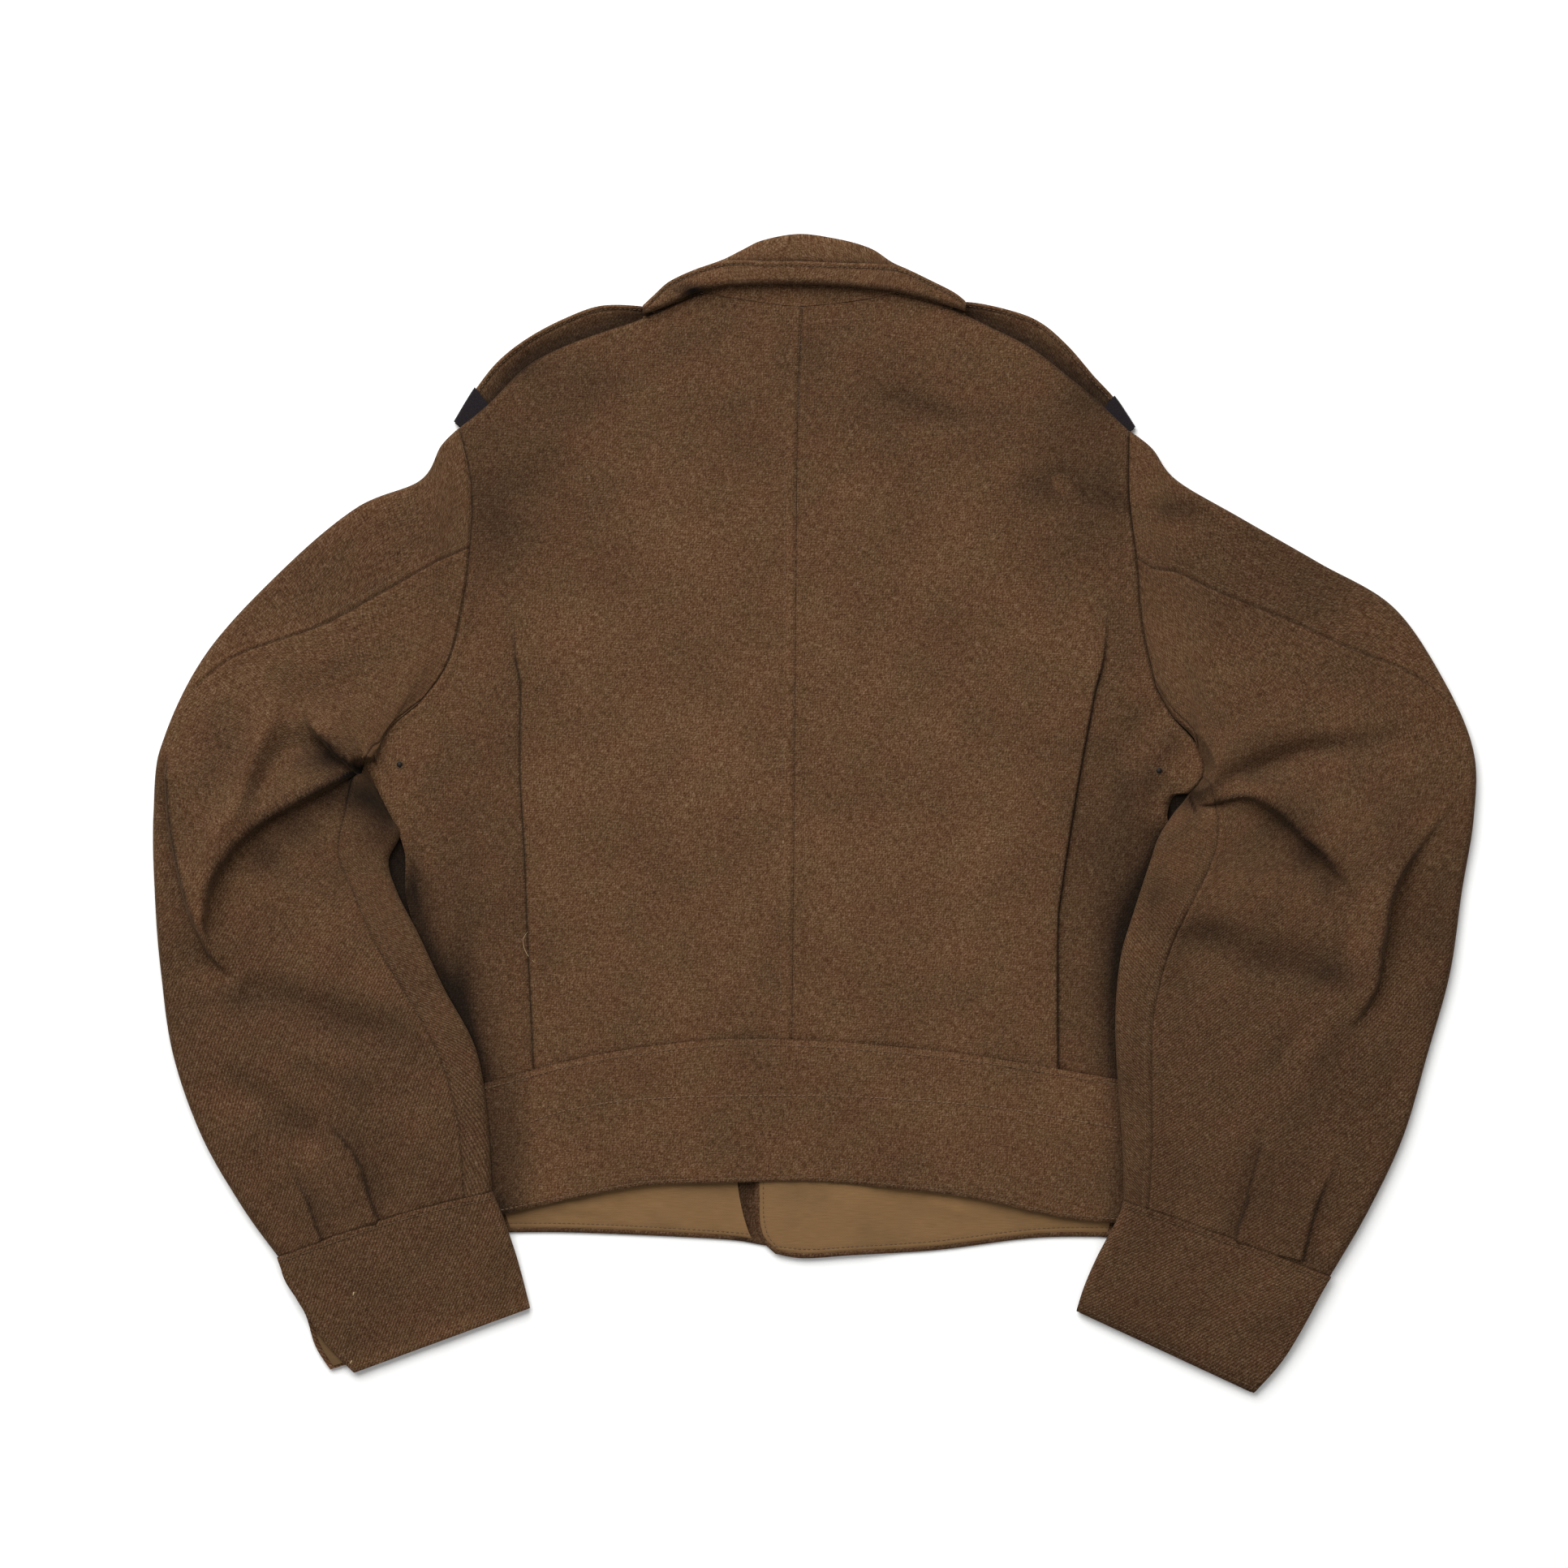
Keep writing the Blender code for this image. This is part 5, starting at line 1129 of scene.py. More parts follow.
sleeveCut = {
    "rows": 290, "rowEnds": 0.45, "underColumns": 108, "strip": (30, 1.4), "turn": 7, "below": 40,
    "innerStrip": 16, "armholeGap": 0.15, "seamGap": 0.1, "bow": {"left": 4.0, "right": 1.5}, "bowSlant": 0.3,
    "edgeTop": 9.5, "crown": 3, "joinOver": 2.2, "leanEnd": 0.3, "underSlope": 2.0, "clear": 60,
    "coverPath": slice(1, 5), "innerLift": 5.0, "liftFrom": (0.72, 1.0), "leastSeam": 0.5,
    "restFrom": {"left": (7.2, 9.0), "right": (4.8, 6.2)},
    "lumps": ((0.30, 55, 81), (0.12, 20, 82), (0.05, 8, 83)), "cuffTuck": (3.0, 1.5),
    "topStitch": 5.0, "seamFrom": (4.5, 12), "rib": (0.3, 0.6, 20, -140),
    "underSeams": ((0.8, 0, 0.9), (-0.28, 4, 2.5)),
    "topSeams": ((0.8, 0, 1.5), (-0.32, 3, 2.0), (0.32, 5.0, 1.1)),
    "underPressed": (("first", 1.4, 0, 1.0), ("last", 1.0, 0, 1.6)),
    "topPressed": (("first", 1.0, 0, 1.5), ("last", 1.0, 0, 1.5)),
    "puckers": (("last", 0.35, 12, 15, 84), ("first", 0.2, 8, 16, 85)),
    "underTone": {"all": 0.93, "near": ((0.25, 0, 0.8),), "far": ((0.2, 0, 0.8),), "first": ((0.25, 0, 1.0),),
                  "last": ((0.14, 0, 1.6),)},
    "topTone": {"all": 0.90, "near": ((0.16, 0, 1.3),), "far": ((0.12, 0, 1.2),), "first": ((0.12, 0, 1.6),)},
    "pinch": ((3.0, 0, 7),), "pinchShade": {"left": ((0.25, 0, 5),), "right": ((0.6, 0, 5),)},
    # painted shade under the laps' lips, in the armpits, along troughs and over the lower sleeves, and
    # painted light on lit folds
    "paintedShadingAndFading": (
        (-330, -240, 130, 110, -0.10), (-442, -90, 24, 120, -0.14), (-340, 165, 70, 35, -0.14),
        (-410, 80, 30, 30, 0.10), (-321, 38, 12, 10, -0.50), (-284, 3, 18, 25, -0.72),
        (-394, 40, 22, 30, -0.12), (-350, 43, 18, 13, -0.10), (-334, 45, 13, 9, -0.16),
        (-305, 22, 15, 11, -0.30), (-325, 9, 17, 11, -0.36), (-345, -8, 18, 12, -0.36),
        (-366, -28, 14, 14, -0.42), (-407, -64, 8, 22, 0.32), (-338, 33, 14, 9, -0.28),
        (-303, 10, 13, 11, -0.35), (-361, 50, 9, 15, 0.18), (-386, 8, 8, 20, 0.16),
        (-375, 90, 35, 14, 0.10), (-372, -122, 40, 9, -0.26), (-325, -136, 40, 10, -0.22),
        (-280, -150, 28, 10, -0.14), (-350, -205, 22, 11, -0.24), (300, -240, 130, 120, -0.13),
        (425, -90, 34, 130, -0.17), (300, 165, 80, 45, -0.28), (237, 203, 20, 9, -0.36),
        (249, 11, 9, 9, -0.60), (262, 17, 9, 8, -0.25), (224, -52, 10, 25, -0.18), (283, 30, 17, 8, -0.25),
        (312, 38, 22, 8, -0.14), (350, 45, 36, 8, -0.24), (259, 40, 4, 15, -0.22), (250, 60, 4, 11, -0.18),
        (308, -5, 15, 12, -0.30), (325, -26, 11, 14, -0.45), (339, -46, 8, 12, -0.36),
        (262, -78, 20, 11, -0.40), (300, -96, 30, 12, -0.42), (342, -105, 20, 12, -0.50),
        (338, -283, 12, 12, 0.25), (345, -10, 16, 16, 0.12), (408, -15, 10, 22, 0.24),
    ),
    "folds": {
        "left": (
            Lap(10.0, 34, 1.8, 4.0, 0.16, 0.05,
                ((-396, -96), (-405, -74), (-403, -48), (-391, -27), (-378, -12), (-362, 0), (-345, 9),
                 (-320, 22.5), (-296, 34))),
            Lap(9.0, 20, 1.6, 3.0, 0.15, 0.25,
                ((-430, 48), (-427, -3), (-416, -54), (-404, -87), (-386, -109))),
            Ridge(9.0, 9, 0.25, 0.22,
                ((-351, 90), (-363, 62), (-372, 36), (-383, 6), (-397, -15), (-406, -45), (-402, -72))),
            Ridge(-5.5, 10, 0.25, 0.25, ((-322, 44), (-338, 46), (-354, 40), (-366, 22), (-378, 0))),
            Lap(9.5, 18, 1.6, 3.0, 0.40, 0.02, ((-346, 76), (-332, 56), (-324, 49), (-315, 39),
                                                (-298, 29))),
            Ridge(-9.0, 8, 0.10, 0.50, ((-304, 29), (-319, 38), (-338, 50))),
            Ridge(1.5, 9, 0.15, 0.40, ((-308, 31), (-335, 24), (-366, 8))),
            Ridge(-5.5, 13, 0.20, 0.30, ((-384, -112), (-340, -128), (-262, -156))),
            Ridge(-4.5, 11, 0.30, 0.30, ((-402, -172), (-368, -190), (-343, -209), (-326, -232))),
            Ridge(3.0, 11, 0.30, 0.30, ((-384, -200), (-362, -222), (-350, -250))),
            Lap(3.6, 14, 0.9, 1.6, 0.0, 0.35, ((-289, -276), (-297, -255), (-304, -231), (-319, -211),
                                               (-330, -203))),
            Lap(2.6, 11, 1.2, 1.0, 0.0, 0.60, ((-327, -288), (-336, -263), (-343, -246), (-357, -222))),
        ),
        "right": (
            Ridge(-9.5, 9, 0.06, 0.50, ((248, 8), (262, 13), (281, 23), (322, 40), (375, 47), (425, 49))),
            Lap(10.0, 26, 1.8, 3.6, 0.14, 0.22,
                ((252, 6.5), (264, 10), (286, 13.5), (306, 2), (324, -15), (343, -34), (356, -55))),
            Ridge(5.0, 10, 0.10, 0.35, ((258, 14), (290, 18), (322, 6), (350, -24))),
            Lap(10.0, 22, 1.7, 2.8, 0.25, 0.42,
                ((351, -146), (368, -118), (374, -88), (380, -52), (400, -20), (432, 16))),
            Ridge(-5.0, 15, 0.20, 0.35, ((230, -76), (278, -92), (321, -97), (366, -95))),
            Ridge(6.5, 13, 0.35, 0.30, ((332, 24), (366, -8), (376, -50), (368, -100))),
            Ridge(-3.5, 8, 0.35, 0.35, ((352, -50), (356, -80), (346, -108))),
            Lap(3.6, 14, 0.9, 1.6, 0.30, 0.0, ((299, -214), (294, -227), (288, -249), (277, -288))),
            Lap(2.6, 12, 1.2, 1.0, 0.0, 0.55, ((322, -296), (332, -257), (348, -225))),
        ),
    },
    "creases": {
        "left": (
            Ridge(-1.6, 10, 0.35, 0.40, ((-318, 66), (-345, 78), (-372, 84))),
            Ridge(1.2, 9, 0.40, 0.40, ((-300, 96), (-325, 102), (-352, 98))),
            Ridge(-1.0, 9, 0.40, 0.40, ((-262, 206), (-290, 186), (-330, 160))),
            Ridge(2.2, 12, 0.40, 0.40, ((-345, -30), (-330, -70), (-310, -104))),
            Ridge(-1.2, 10, 0.40, 0.40, ((-372, -52), (-352, -84), (-330, -104))),
            Ridge(2.4, 10, 0.40, 0.40, ((-356, -152), (-318, -166), (-276, -182))),
            Ridge(-0.9, 9, 0.40, 0.40, ((-404, -140), (-398, -175), (-384, -205))),
            Ridge(0.9, 8, 0.40, 0.30, ((-318, -200), (-312, -235), (-305, -262))),
            Ridge(-0.8, 7, 0.30, 0.40, ((-352, -280), (-362, -252), (-378, -228))),
            Ridge(0.7, 8, 0.40, 0.40, ((-262, -190), (-258, -215), (-254, -246))),
        ),
        "right": (
            Ridge(1.6, 9, 0.10, 0.45, ((250, 22), (276, 44), (312, 66), (350, 74))),
            Ridge(-1.2, 10, 0.35, 0.40, ((300, 96), (340, 88), (384, 84))),
            Ridge(2.6, 11, 0.35, 0.40, ((352, -120), (335, -150), (318, -175))),
            Ridge(-2.6, 10, 0.40, 0.40, ((340, -130), (316, -152), (300, -182))),
            Ridge(1.0, 10, 0.40, 0.40, ((262, -40), (290, -52), (322, -60))),
            Ridge(-0.9, 9, 0.40, 0.40, ((395, -120), (388, -160), (372, -200))),
            Ridge(0.9, 8, 0.40, 0.30, ((306, -200), (312, -238), (305, -284))),
            Ridge(0.8, 8, 0.40, 0.40, ((330, -190), (322, -225), (314, -262))),
            Ridge(-0.8, 8, 0.40, 0.40, ((228, 214), (262, 190), (300, 172))),
            Ridge(-0.8, 9, 0.30, 0.40, ((404, 10), (418, -30), (412, -80))),
        ),
    },
}


def sleeveShares(rows):
    return crowded(rows, sleeveCut["rowEnds"])


def sleeveSections(side, rows):
    return Section(*share(sleeveTable[side], sleeveShares(rows)).T)


def sleeveWidth(section):
    width = np.hypot(section.outerX - section.innerX, section.outerY - section.innerY)
    return width, 2 * foldTurn + width - 2 * foldRound


def seamBow(side):
    return np.array([sleeveCut["bowSlant"] * flip[side], 1.0]) * sleeveCut["bow"][side]


def sleevePlan(side, rows, across):
    section = sleeveSections(side, rows)
    outer = np.stack([section.outerX, section.outerY], -1)
    inner = np.stack([section.innerX, section.innerY], -1)

    def nearArmhole(w):
        return offsetCurve(lambda a: share(armhole[side], a), w, sleeveCut["armholeGap"] * flip[side])

    def cuffSeam(w):
        return blend(outer[-1], inner[-1], w) + seamBow(side) * np.sin(np.pi * w[..., None])

    return patch(outer, inner, nearArmhole, cuffSeam, across, sleeveShares(rows))


def sleeveHeight(side, rows, across, plan):
    last = len(sleeveTable[side]) - 1
    place = last * sleeveShares(rows)[:, None]
    loft = sleeveSections(side, rows).loft[:, None]
    edge = np.minimum(loft, sleeveCut["edgeTop"])
    height = edge + (loft - edge) * (1 - np.abs(2 * across - 1) ** sleeveCut["crown"])
    lean = np.zeros(plan.shape)
    for fold in sleeveCut["folds"][side] + sleeveCut["creases"][side]:
        rise, push, _ = foldShape(fold, plan)
        height, lean = height + rise, lean + push
    height = height + uneven(plan, sleeveCut["lumps"])
    # level with the body at the armhole, and low where the body lies over it
    body = backHeight(plan, False)[0]
    joined = ease(0, sleeveCut["joinOver"], place)
    height = body + (height - body) * joined
    covered = flip[side] * beside(armpit[side] + backSide[side][sleeveCut["coverPath"]], plan)[0]
    under = ease(*overlap[side][::-1], plan[..., 1]) * ease(*sewnDown[side], plan[..., 1])
    room = sleeveCut["underSlope"] * np.maximum(0, -covered) + sleeveCut["clear"] * (1 - under)
    lean = lean * (joined * ease(last, last - sleeveCut["leanEnd"], place))[..., None]
    return np.clip(np.minimum(height, leastTop + room), leastTop, mostTop), lean


def sleeveLayers(side, along, upper):
    rows = len(along)
    width, whole = [v[:, None] for v in sleeveWidth(sleeveSections(side, rows))]
    turn = np.clip(np.minimum(along, whole - along) / foldTurn, 0, 1) * np.pi / 2
    toward = np.where(along < whole / 2, -1, 1)
    flat = np.clip(foldRound + along - foldTurn, foldRound, width - foldRound)
    crown, lean = sleeveHeight(side, rows, flat / width, sleevePlan(side, rows, flat / width))
    lean = lean * (np.where(upper, 1, 0) * np.sin(turn))[..., None]
    place = (len(sleeveTable[side]) - 1) * sleeveShares(rows)[:, None]
    resting = ease(*sleeveCut["restFrom"][side], place) * ease(*sleeveCut["liftFrom"], flat / width)
    faces = []
    for depth in (0, cloth["serge"]):
        plan = sleevePlan(side, rows, (flat + toward * (foldRound - depth) * np.cos(turn)) / width)
        height = crown / 2 + np.where(upper, 1, -1) * (crown / 2 - depth) * np.sin(turn)
        face = lifted(plan + lean, height + sleeveCut["innerLift"] * resting)
        faces.append(tucked(face, *sleeveCut["cuffTuck"], upper[0]))
    return faces


def seamLengths(side, rows):
    # lengths round the sleeve to the hindarm seam and the inner seam, and all round
    section = sleeveSections(side, rows)
    width, whole = sleeveWidth(section)
    ends = []
    for run in (section.hindarm * width, (1 - section.inseam) * width):
        past = np.where(run > foldRound, foldTurn + run - foldRound, foldTurn * run / foldRound)
        ends.append(np.maximum(past, sleeveCut["leastSeam"] * foldTurn))
    return ends[0], whole - ends[1], whole


def sleeveRib(points):
    least, more, start, end = sleeveCut["rib"]
    return least + more * ease(start, end, points[..., 1])


def sleeveGrooves(outside, rows, shown, only=1.0):
    for edge, amount in (("near", shown), ("far", 1.0)):
        outside[..., 2] -= only * amount * profile(fromEdge(outside, edge), rows)


def sleeveTone(outside, look, shown):
    tone = look["all"] - shown * profile(fromEdge(outside, "near"), look["near"])
    return tone - profile(fromEdge(outside, "far"), look["far"]) + patches(outside, sleeveCut["paintedShadingAndFading"])


def underSleeve(side, hindarm, inseam, shown):
    spread = crowded(sleeveCut["underColumns"])[None]
    panel = (hindarm + sleeveCut["seamGap"]) * (1 - spread) + (inseam - sleeveCut["seamGap"]) * spread
    outside, inside = sleeveLayers(side, panel, np.ones((1, 1), bool))
    grain = grainOf(outside) * [flip[side], 1]
    sleeveGrooves(outside, sleeveCut["underSeams"], shown)
    press(outside, sleeveCut["underPressed"])
    pucker(outside, sleeveCut["puckers"])
    look = sleeveCut["underTone"]
    tone = sleeveTone(outside, look, shown)
    pinch = fromPoint(outside, pinchAt[side])
    outside[..., 2] -= profile(pinch, sleeveCut["pinch"])
    # painted shade in the armpit's deep hole
    tone = tone - profile(pinch, sleeveCut["pinchShade"][side])
    # painted shade in the creases under the laps
    tone = tone - creaseShade(sleeveCut["folds"][side], outside[..., :2])
    for edge in ("first", "last"):
        tone = tone - profile(fromEdge(outside, edge), look[edge])
    sew("under_sleeve_" + side, outside, inside, grain=grain, tone=tone, closed=False,
        ribbed=sleeveRib(outside))


def topSleeve(side, hindarm, inseam, whole, shown):
    # strip above the hindarm seam, round the folded edge, the hidden half, round again, up to the inner seam
    count, crowd = sleeveCut["strip"]
    turn = foldTurn * np.linspace(0, 1, sleeveCut["turn"])[None, 1:-1]
    parts = (
        (True, hindarm * (1 - np.linspace(0, 1, count)[None] ** crowd)),
        (False, turn + 0 * whole),
        (False, foldTurn + (whole - 2 * foldTurn) * np.linspace(0, 1, sleeveCut["below"])[None]),
        (False, whole - turn[:, ::-1]),
        (True, whole + (inseam - whole) * np.linspace(0, 1, sleeveCut["innerStrip"])[None]),
    )
    upper = np.concatenate([np.full(places.shape[1], shows) for shows, places in parts])
    outside, inside = sleeveLayers(side, np.concatenate([places for _, places in parts], 1), upper[None])
    grain = grainOf(outside) * [flip[side], 1]
    top = upper[None].astype(float)
    sleeveGrooves(outside, sleeveCut["topSeams"], shown, top)
    press(outside, sleeveCut["topPressed"], top)
    look = sleeveCut["topTone"]
    tone = sleeveTone(outside, look, shown) - top * profile(fromEdge(outside, "first"), look["first"])
    sew("top_sleeve_" + side, outside, inside, grain=grain, tone=tone, closed=False,
        ribbed=sleeveRib(outside))


for hand in flip:
    seamPlaces = [v[:, None] for v in seamLengths(hand, sleeveCut["rows"])]
    seamShown = ease(*sleeveCut["seamFrom"], np.concatenate([seamPlaces[0], seamPlaces[0][-1:]]))
    underSleeve(hand, *seamPlaces[:2], seamShown)
    topSleeve(hand, *seamPlaces, seamShown)
print("sleeves folded and laid")


# Cuffs

cuffCut = {
    "grid": (36, 66), "turn": (75, 11), "upperColumns": 70, "edgeStitch": 4.0, "seamStitch": 4.4,
    "bowFade": 1.5, "flatten": (2.4, 0.2, 1.0), "restTo": (0.7, 0.0),
    "lumps": ((0.22, 42, 91), (0.08, 14, 92)),
    # across the free edge, the slit and the seam
    "profiles": {"last": ((1.3, 0, 1.3), (0.35, 4.0, 1.0)), "near": ((1.3, 0, 1.3), (0.3, 4.0, 1.0)),
                 "first": ((0.9, 0, 1.0), (-0.6, 2.2, 1.4), (0.4, 4.4, 1.0))},
    # each cuff's tone, the right darker than the left; painted light along the left hem and painted shade
    # along the right hem
    "tone": {"left": 0.91, "right": 0.83}, "hemTone": {"left": ((0.40, 0, 8),), "right": ((-0.25, 0, 8),)},
    "edgeTones": {"first": ((-0.14, 0, 1.2),), "last": ((0.05, 0, 1.6),), "near": ((0.04, 0, 1.6),)},
    "liningAcross": (0.025, 0.95, 50), "liningDown": (0.04, 0.96), "liningGap": 0.15, "liningTone": 0.6,
    # outer edge, folded inner edge, lower layer's outer edge, from the seam to the free edge
    "left": ((-358, -294, -214.7, -250, -357, -296), (-352, -309, -207, -269, -353, -310),
             (-338, -333, -200, -290, -340, -331), (-325, -352, -195, -308, -333, -353),
             (-307, -371, -190, -328, -323, -369)),
    "right": ((342, -307, 203.7, -256, 341, -308), (335, -319, 200, -268, 333, -320),
              (322, -343, 187, -293, 319, -344), (309, -364, 178, -314, 306, -365),
              (291, -384.5, 173, -330, 289, -384)),
}


def cuff(side):
    count, columns = cuffCut["grid"]
    rows = share(cuffCut[side], np.linspace(0, 1, count))
    inner = rows[:, 2:4]
    fade = np.linspace(1, 0, count)[:, None, None] ** cuffCut["bowFade"]

    def layer(outer, shares, past):
        width = np.linalg.norm(inner - outer, axis=1)[:, None]
        w = (shares * (width - cuffRound) + past) / width
        bow = seamBow(side) * fade * np.sin(np.pi * np.clip(w, 0, 1))[..., None]
        return blend(outer[:, None], inner[:, None], w) + bow

    flat = np.linspace(0, 1, columns)[None]
    down = np.linspace(0, 1, count)[:, None]
    sink, *sinkFrom = cuffCut["flatten"]
    top = cuffTop - sink * ease(*sinkFrom, down)
    rest = sleeveCut["innerLift"] * ease(*cuffCut["restTo"], down)
    lift = rest * ease(*sleeveCut["liftFrom"], flat)
    swing, turns = cuffCut["turn"]
    skins = []
    for depth in (0, cloth["doubled"]):
        parts = [lifted(layer(rows[:, :2], flat, 0.0), top - depth + lift)]
        for angle in np.radians(np.linspace(swing, -swing, turns)):
            plan = layer(rows[:, :2], np.ones((1, 1)), (cuffRound - depth) * math.cos(angle))
            parts.append(lifted(plan, top / 2 + (top / 2 - depth) * math.sin(angle) + rest))
        parts.append(lifted(layer(rows[:, 4:], flat[:, ::-1], 0.0), depth + lift[:, ::-1]))
        skins.append(np.concatenate(parts, 1))
    outside, inside = skins
    grain = grainOf(outside) * [flip[side], 1]
    upper = (np.arange(outside.shape[1]) < cuffCut["upperColumns"])[None].astype(float)
    outside[..., 2] += upper * uneven(outside[..., :2], cuffCut["lumps"])
    runs = {edge: fromEdge(outside, edge) for edge in cuffCut["profiles"]}
    tone = cuffCut["tone"][side] + profile(runs["last"], cuffCut["hemTone"][side])
    for edge, run in runs.items():
        outside[..., 2] -= upper * profile(run, cuffCut["profiles"][edge])
        tone = tone + profile(run, cuffCut["edgeTones"][edge])
    sew("cuff_" + side, outside, inside, grain=grain, tone=tone, ribbed=1.0)
    if side == "left":
        plan = layer(rows[:, 4:], np.linspace(*cuffCut["liningAcross"])[None], 0.0)
        plan = share(plan.reshape(count, -1), np.linspace(*cuffCut["liningDown"], count)).reshape(plan.shape)
        under = lifted(plan, cloth["doubled"] + cuffCut["liningGap"])
        sew("cuff_lining_left", under + [0, 0, cloth["drill"]], under, "tan_drill",
            tone=np.full(plan.shape[:2], cuffCut["liningTone"]))


for hand in flip:
    cuff(hand)
print("cuffs laid")


# Stitching: many small bars of thread joined into one mesh for each seam group

stitch = {
    "pitch": 3.2, "length": 2.3, "thick": 0.36, "fine": 0.28, "finest": 0.26, "start": 0.4, "shift": 0.25,
    # one bar: places along it, how thick and how high it is there, sides of its round, how flat it lies
    "along": (0.0, 0.14, 0.5, 0.86, 1.0), "sizes": (0.35, 0.85, 1.0, 0.85, 0.35),
    "rises": (-0.7, 0.4, 0.8, 0.4, -0.7), "sides": 6, "flat": 0.8, "spread": (0.9, 1.12), "tiny": 1e-6,
    "step": 2.0, "neighbours": 4, "nearby": 0.2,   # how a plan path is laid on a grid
    # shares of an edge between which a row runs
    "bandEnds": (0.02, 0.98), "collarEnds": (0.03, 0.97), "hindarmEnds": (0.01, 0.36),
    "inseamEnds": (0.55, 0.99),
}


def unit(vector):
    return vector / max(np.linalg.norm(vector), stitch["tiny"])


def threadBars(lines, thick, pitch, length, seed):
    draw = np.random.RandomState(seed)
    points, quads = [], []
    ringAngle = np.linspace(0, 2 * np.pi, stitch["sides"] + 1)[:-1, None]
    places, sizes, rises = [np.array(stitch[key]) for key in ("along", "sizes", "rises")]
    bar = np.arange(len(places) * stitch["sides"]).reshape(len(places), -1)
    beyond = np.roll(bar, -1, 1)
    around = np.stack([bar[:-1], beyond[:-1], beyond[1:], bar[1:]], -1).reshape(-1, 4)
    caps = [bar[k, corners] for corners in ([0, 1, 2, 3], [0, 3, 4, 5]) for k in (0, -1)]
    faces = np.concatenate([around, caps])
    for line in lines:
        run = runLength(line)
        for start in np.arange(stitch["start"], run[-1] - length, pitch):
            at = start + draw.uniform(-stitch["shift"], stitch["shift"]) + length * places
            spine = np.stack([np.interp(at, run, line[:, k]) for k in range(3)], -1)
            ahead = unit(spine[-1] - spine[0])
            wide = unit(np.cross([0, 0, 1.0], ahead))
            up = np.cross(ahead, wide)
            size = thick * sizes[:, None, None] * draw.uniform(*stitch["spread"])
            ring = np.cos(ringAngle) * wide + stitch["flat"] * np.sin(ringAngle) * up
            quads.append(faces + bar.size * len(points))
            points.append((spine[:, None] + thick * rises[:, None, None] * up + size * ring).reshape(-1, 3))
    return np.concatenate(points), np.concatenate(quads)


def stitchRow(name, on, lines, seed, thread=brownThread, slot="wool_serge", **sizes):
    sizes = {**{key: stitch[key] for key in ("thick", "pitch", "length")}, **sizes}
    piece = toMesh(name, *threadBars(lines, seed=seed, **sizes), thread)
    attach(piece, "root")
    piece.parent = made[on]


def onGrid(grid, path):
    # a plan path laid on the nearest points of a piece's upper face
    flat = grid.reshape(-1, 3)
    line = evenSteps(path, stitch["step"])
    height = []
    for point in line:
        gap = fromPoint(flat, point)
        near = np.argsort(gap)[:stitch["neighbours"]]
        weight = 1 / (gap[near] + stitch["nearby"])
        height.append((flat[near, 2] * weight).sum() / weight.sum())
    return lifted(line, np.array(height))


def insetLines(name, rows, columns=None):
    # lines on a piece's face: edge, distance from it, and the shares where it starts and ends
    return [insetLine(grids[name][:, :columns], *row) for row in rows]


fine, finest = stitch["fine"], stitch["finest"]
centreLine = insetLine(grids["back_left"], "far", back["stitchFromSeam"])
upperEnd, lowerEnd = back["stitchEnds"]
centreLine = centreLine[(centreLine[:, 1] < upperEnd) & (centreLine[:, 1] > lowerEnd)]
stitchRow("centre_back_stitches", "back_left", [centreLine], 101, thick=finest)
bandRows = (("first", band["topStitch"], *stitch["bandEnds"]),
            ("last", band["hemStitch"], *stitch["bandEnds"]))
stitchRow("waistband_edge_stitches", "waistband_back", insetLines("waistband_back", bandRows), 102)
middleLine = onGrid(grids["waistband_back"], band["middle"])
stitchRow("waistband_middle_stitches", "waistband_back", [middleLine], 108, tanThread)
sleeveRows = (("near", sleeveCut["topStitch"], *stitch["hindarmEnds"]),
              ("far", sleeveCut["topStitch"], *stitch["inseamEnds"]))
cuffRows = (("last", cuffCut["edgeStitch"]), ("near", cuffCut["edgeStitch"]),
            ("first", cuffCut["seamStitch"]))
strapRows = (("far", strap["edgeStitch"]),)
for hand in flip:
    liningRows = [(edge, lining["stitch"]) for edge in lining["edges"][hand]]
    for name, on, rows, columns, seed, slot, thick in (
            ("lining_stitches_", "waistband_lining_", liningRows, None, 103, "tan_drill", fine),
            ("sleeve_stitches_", "top_sleeve_", sleeveRows, None, 104, "wool_serge", fine),
            ("cuff_stitches_", "cuff_", cuffRows, cuffCut["upperColumns"], 105, "wool_serge", fine),
            ("strap_stitches_", "shoulder_strap_", strapRows, None, 106, "wool_serge", finest)):
        stitchRow(name + hand, on + hand, insetLines(on + hand, rows, columns), seed, slot=slot, thick=thick)
collarRows = (("far", collar["edgeStitch"], *stitch["collarEnds"]),)
stitchRow("collar_stitches", "collar_back", insetLines("collar_back", collarRows), 107, thick=fine)

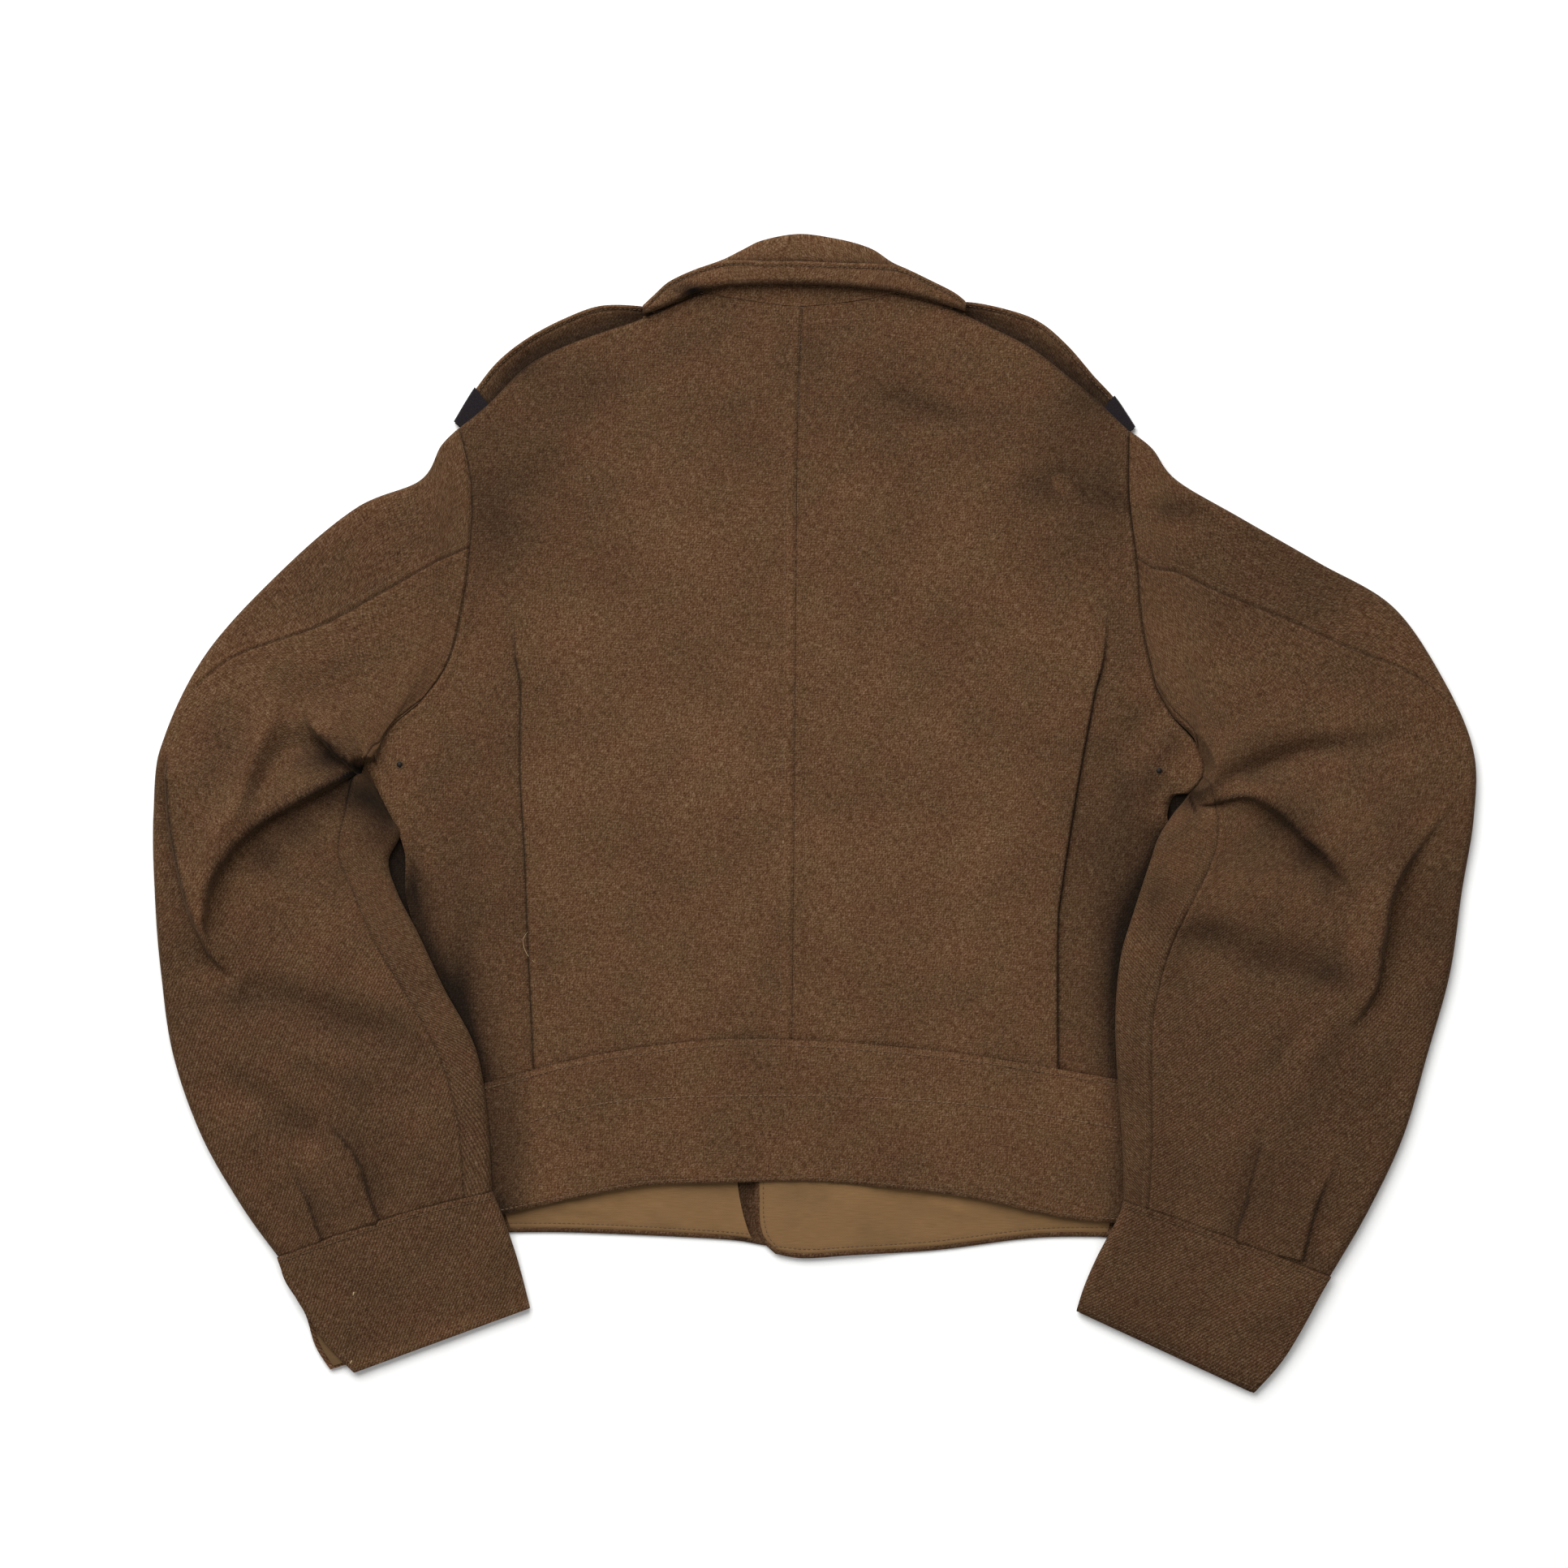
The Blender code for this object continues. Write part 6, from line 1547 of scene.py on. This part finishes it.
# Eyelets, a hair of thread on the left pleat, and lint on the left cuff
eyelet = {
    "radii": (2.9, 2.3), "corners": 13, "edge": {"thick": 0.24, "pitch": 0.8, "length": 0.8},
    "slit": ((-2.6, 1.2), (2.4, -1.2)), "sunk": 0.6, "hole": {"thick": 1.7, "pitch": 9.0, "length": 4.0},
}
looseThread = {"path": ((-190, -76), (-194.5, -83), (-192.5, -92), (-186.5, -98.5)),
               "bars": {"thick": 0.13, "pitch": 1.0, "length": 1.5}}
lint = {"paths": (((-306.6, -316.5), (-308, -322)), ((-308, -362), (-310, -366))), "columns": 60,
        "bars": {"thick": 0.4, "pitch": 9.0, "length": 3.0}}
for hand, place in eyeletAt.items():
    turn = np.linspace(0, 2 * np.pi, eyelet["corners"])
    ring = np.array(place) + np.stack([np.cos(turn), np.sin(turn)], -1) * eyelet["radii"]
    on = "back_" + hand
    slit = onGrid(grids[on], np.add(eyelet["slit"], place)) - [0, 0, eyelet["sunk"]]
    stitchRow("eyelet_edge_" + hand, on, [onGrid(grids[on], ring)], 111, **eyelet["edge"])
    # a dark bar sunk in the slit is painted shade standing for the open hole
    stitchRow("eyelet_hole_" + hand, on, [slit], 112, eyeletHoleShade, **eyelet["hole"])
threadLine = onGrid(grids["back_left"], looseThread["path"])
stitchRow("loose_thread", "back_left", [threadLine], 109, paleThread, **looseThread["bars"])
lintLines = [onGrid(grids["cuff_left"][:, :lint["columns"]], path) for path in lint["paths"]]
stitchRow("lint", "cuff_left", lintLines, 110, paleThread, **lint["bars"])
print("seams stitched")


# Stage: pale floor, soft light from the collar's side, camera straight above

stageLook = {
    "floor": "#f7f7f6", "floorRoughness": 0.9, "floorHalf": 4, "floorDrop": 0.0004,
    "sky": "#ffffff", "skyStrength": 0.24,
    # power, size and place of each light, in metres
    "lights": {"key": (142, 2.6, (-0.8, 1.8, 2.0)), "fill": (14, 2.4, (0.9, -0.9, 2.4))},
}
view = {"centre": (-20.4, 20.0), "width": 1043.3, "height": 3.2, "sensor": 36.0}


def makeStage():
    scene = bpy.context.scene
    mesh = bpy.data.meshes.new("floor")
    half = stageLook["floorHalf"]
    corners = [(-half, -half, 0), (half, -half, 0), (half, half, 0), (-half, half, 0)]
    mesh.from_pydata(corners, [], [(0, 1, 2, 3)])
    floor = bpy.data.objects.new("floor", mesh)
    scene.collection.objects.link(floor)
    finish, tree, shader = newFinish("white paper")
    setNode(tree, shader, {"Base Color": linear(stageLook["floor"]),
                           "Roughness": stageLook["floorRoughness"]})
    mesh.materials.append(finish)
    floor.location.z = -stageLook["floorDrop"]
    for name, (power, size, place) in stageLook["lights"].items():
        light = bpy.data.lights.new(name, "AREA")
        light.energy, light.size = power, size
        lamp = bpy.data.objects.new(name, light)
        lamp.location = place
        direction = -lamp.location
        lamp.rotation_euler = direction.to_track_quat("-Z", "Y").to_euler()
        scene.collection.objects.link(lamp)
    world = bpy.data.worlds.new("studio")
    world.use_nodes = True
    setNode(world.node_tree, world.node_tree.nodes["Background"],
            {"Color": linear(stageLook["sky"]), "Strength": stageLook["skyStrength"]})
    scene.world = world
    scene.view_settings.view_transform = "Standard"
    lens = bpy.data.cameras.new("camera")
    lens.sensor_width = view["sensor"]
    lens.lens = view["sensor"] * view["height"] / (view["width"] * mm)
    camera = bpy.data.objects.new("camera", lens)
    camera.location = (view["centre"][0] * mm, view["centre"][1] * mm, view["height"])
    scene.collection.objects.link(camera)
    scene.camera = camera


makeStage()
print("stage set")

total = sum(len(p.data.polygons) * 2 for p in made.values())
print("triangles about", total)
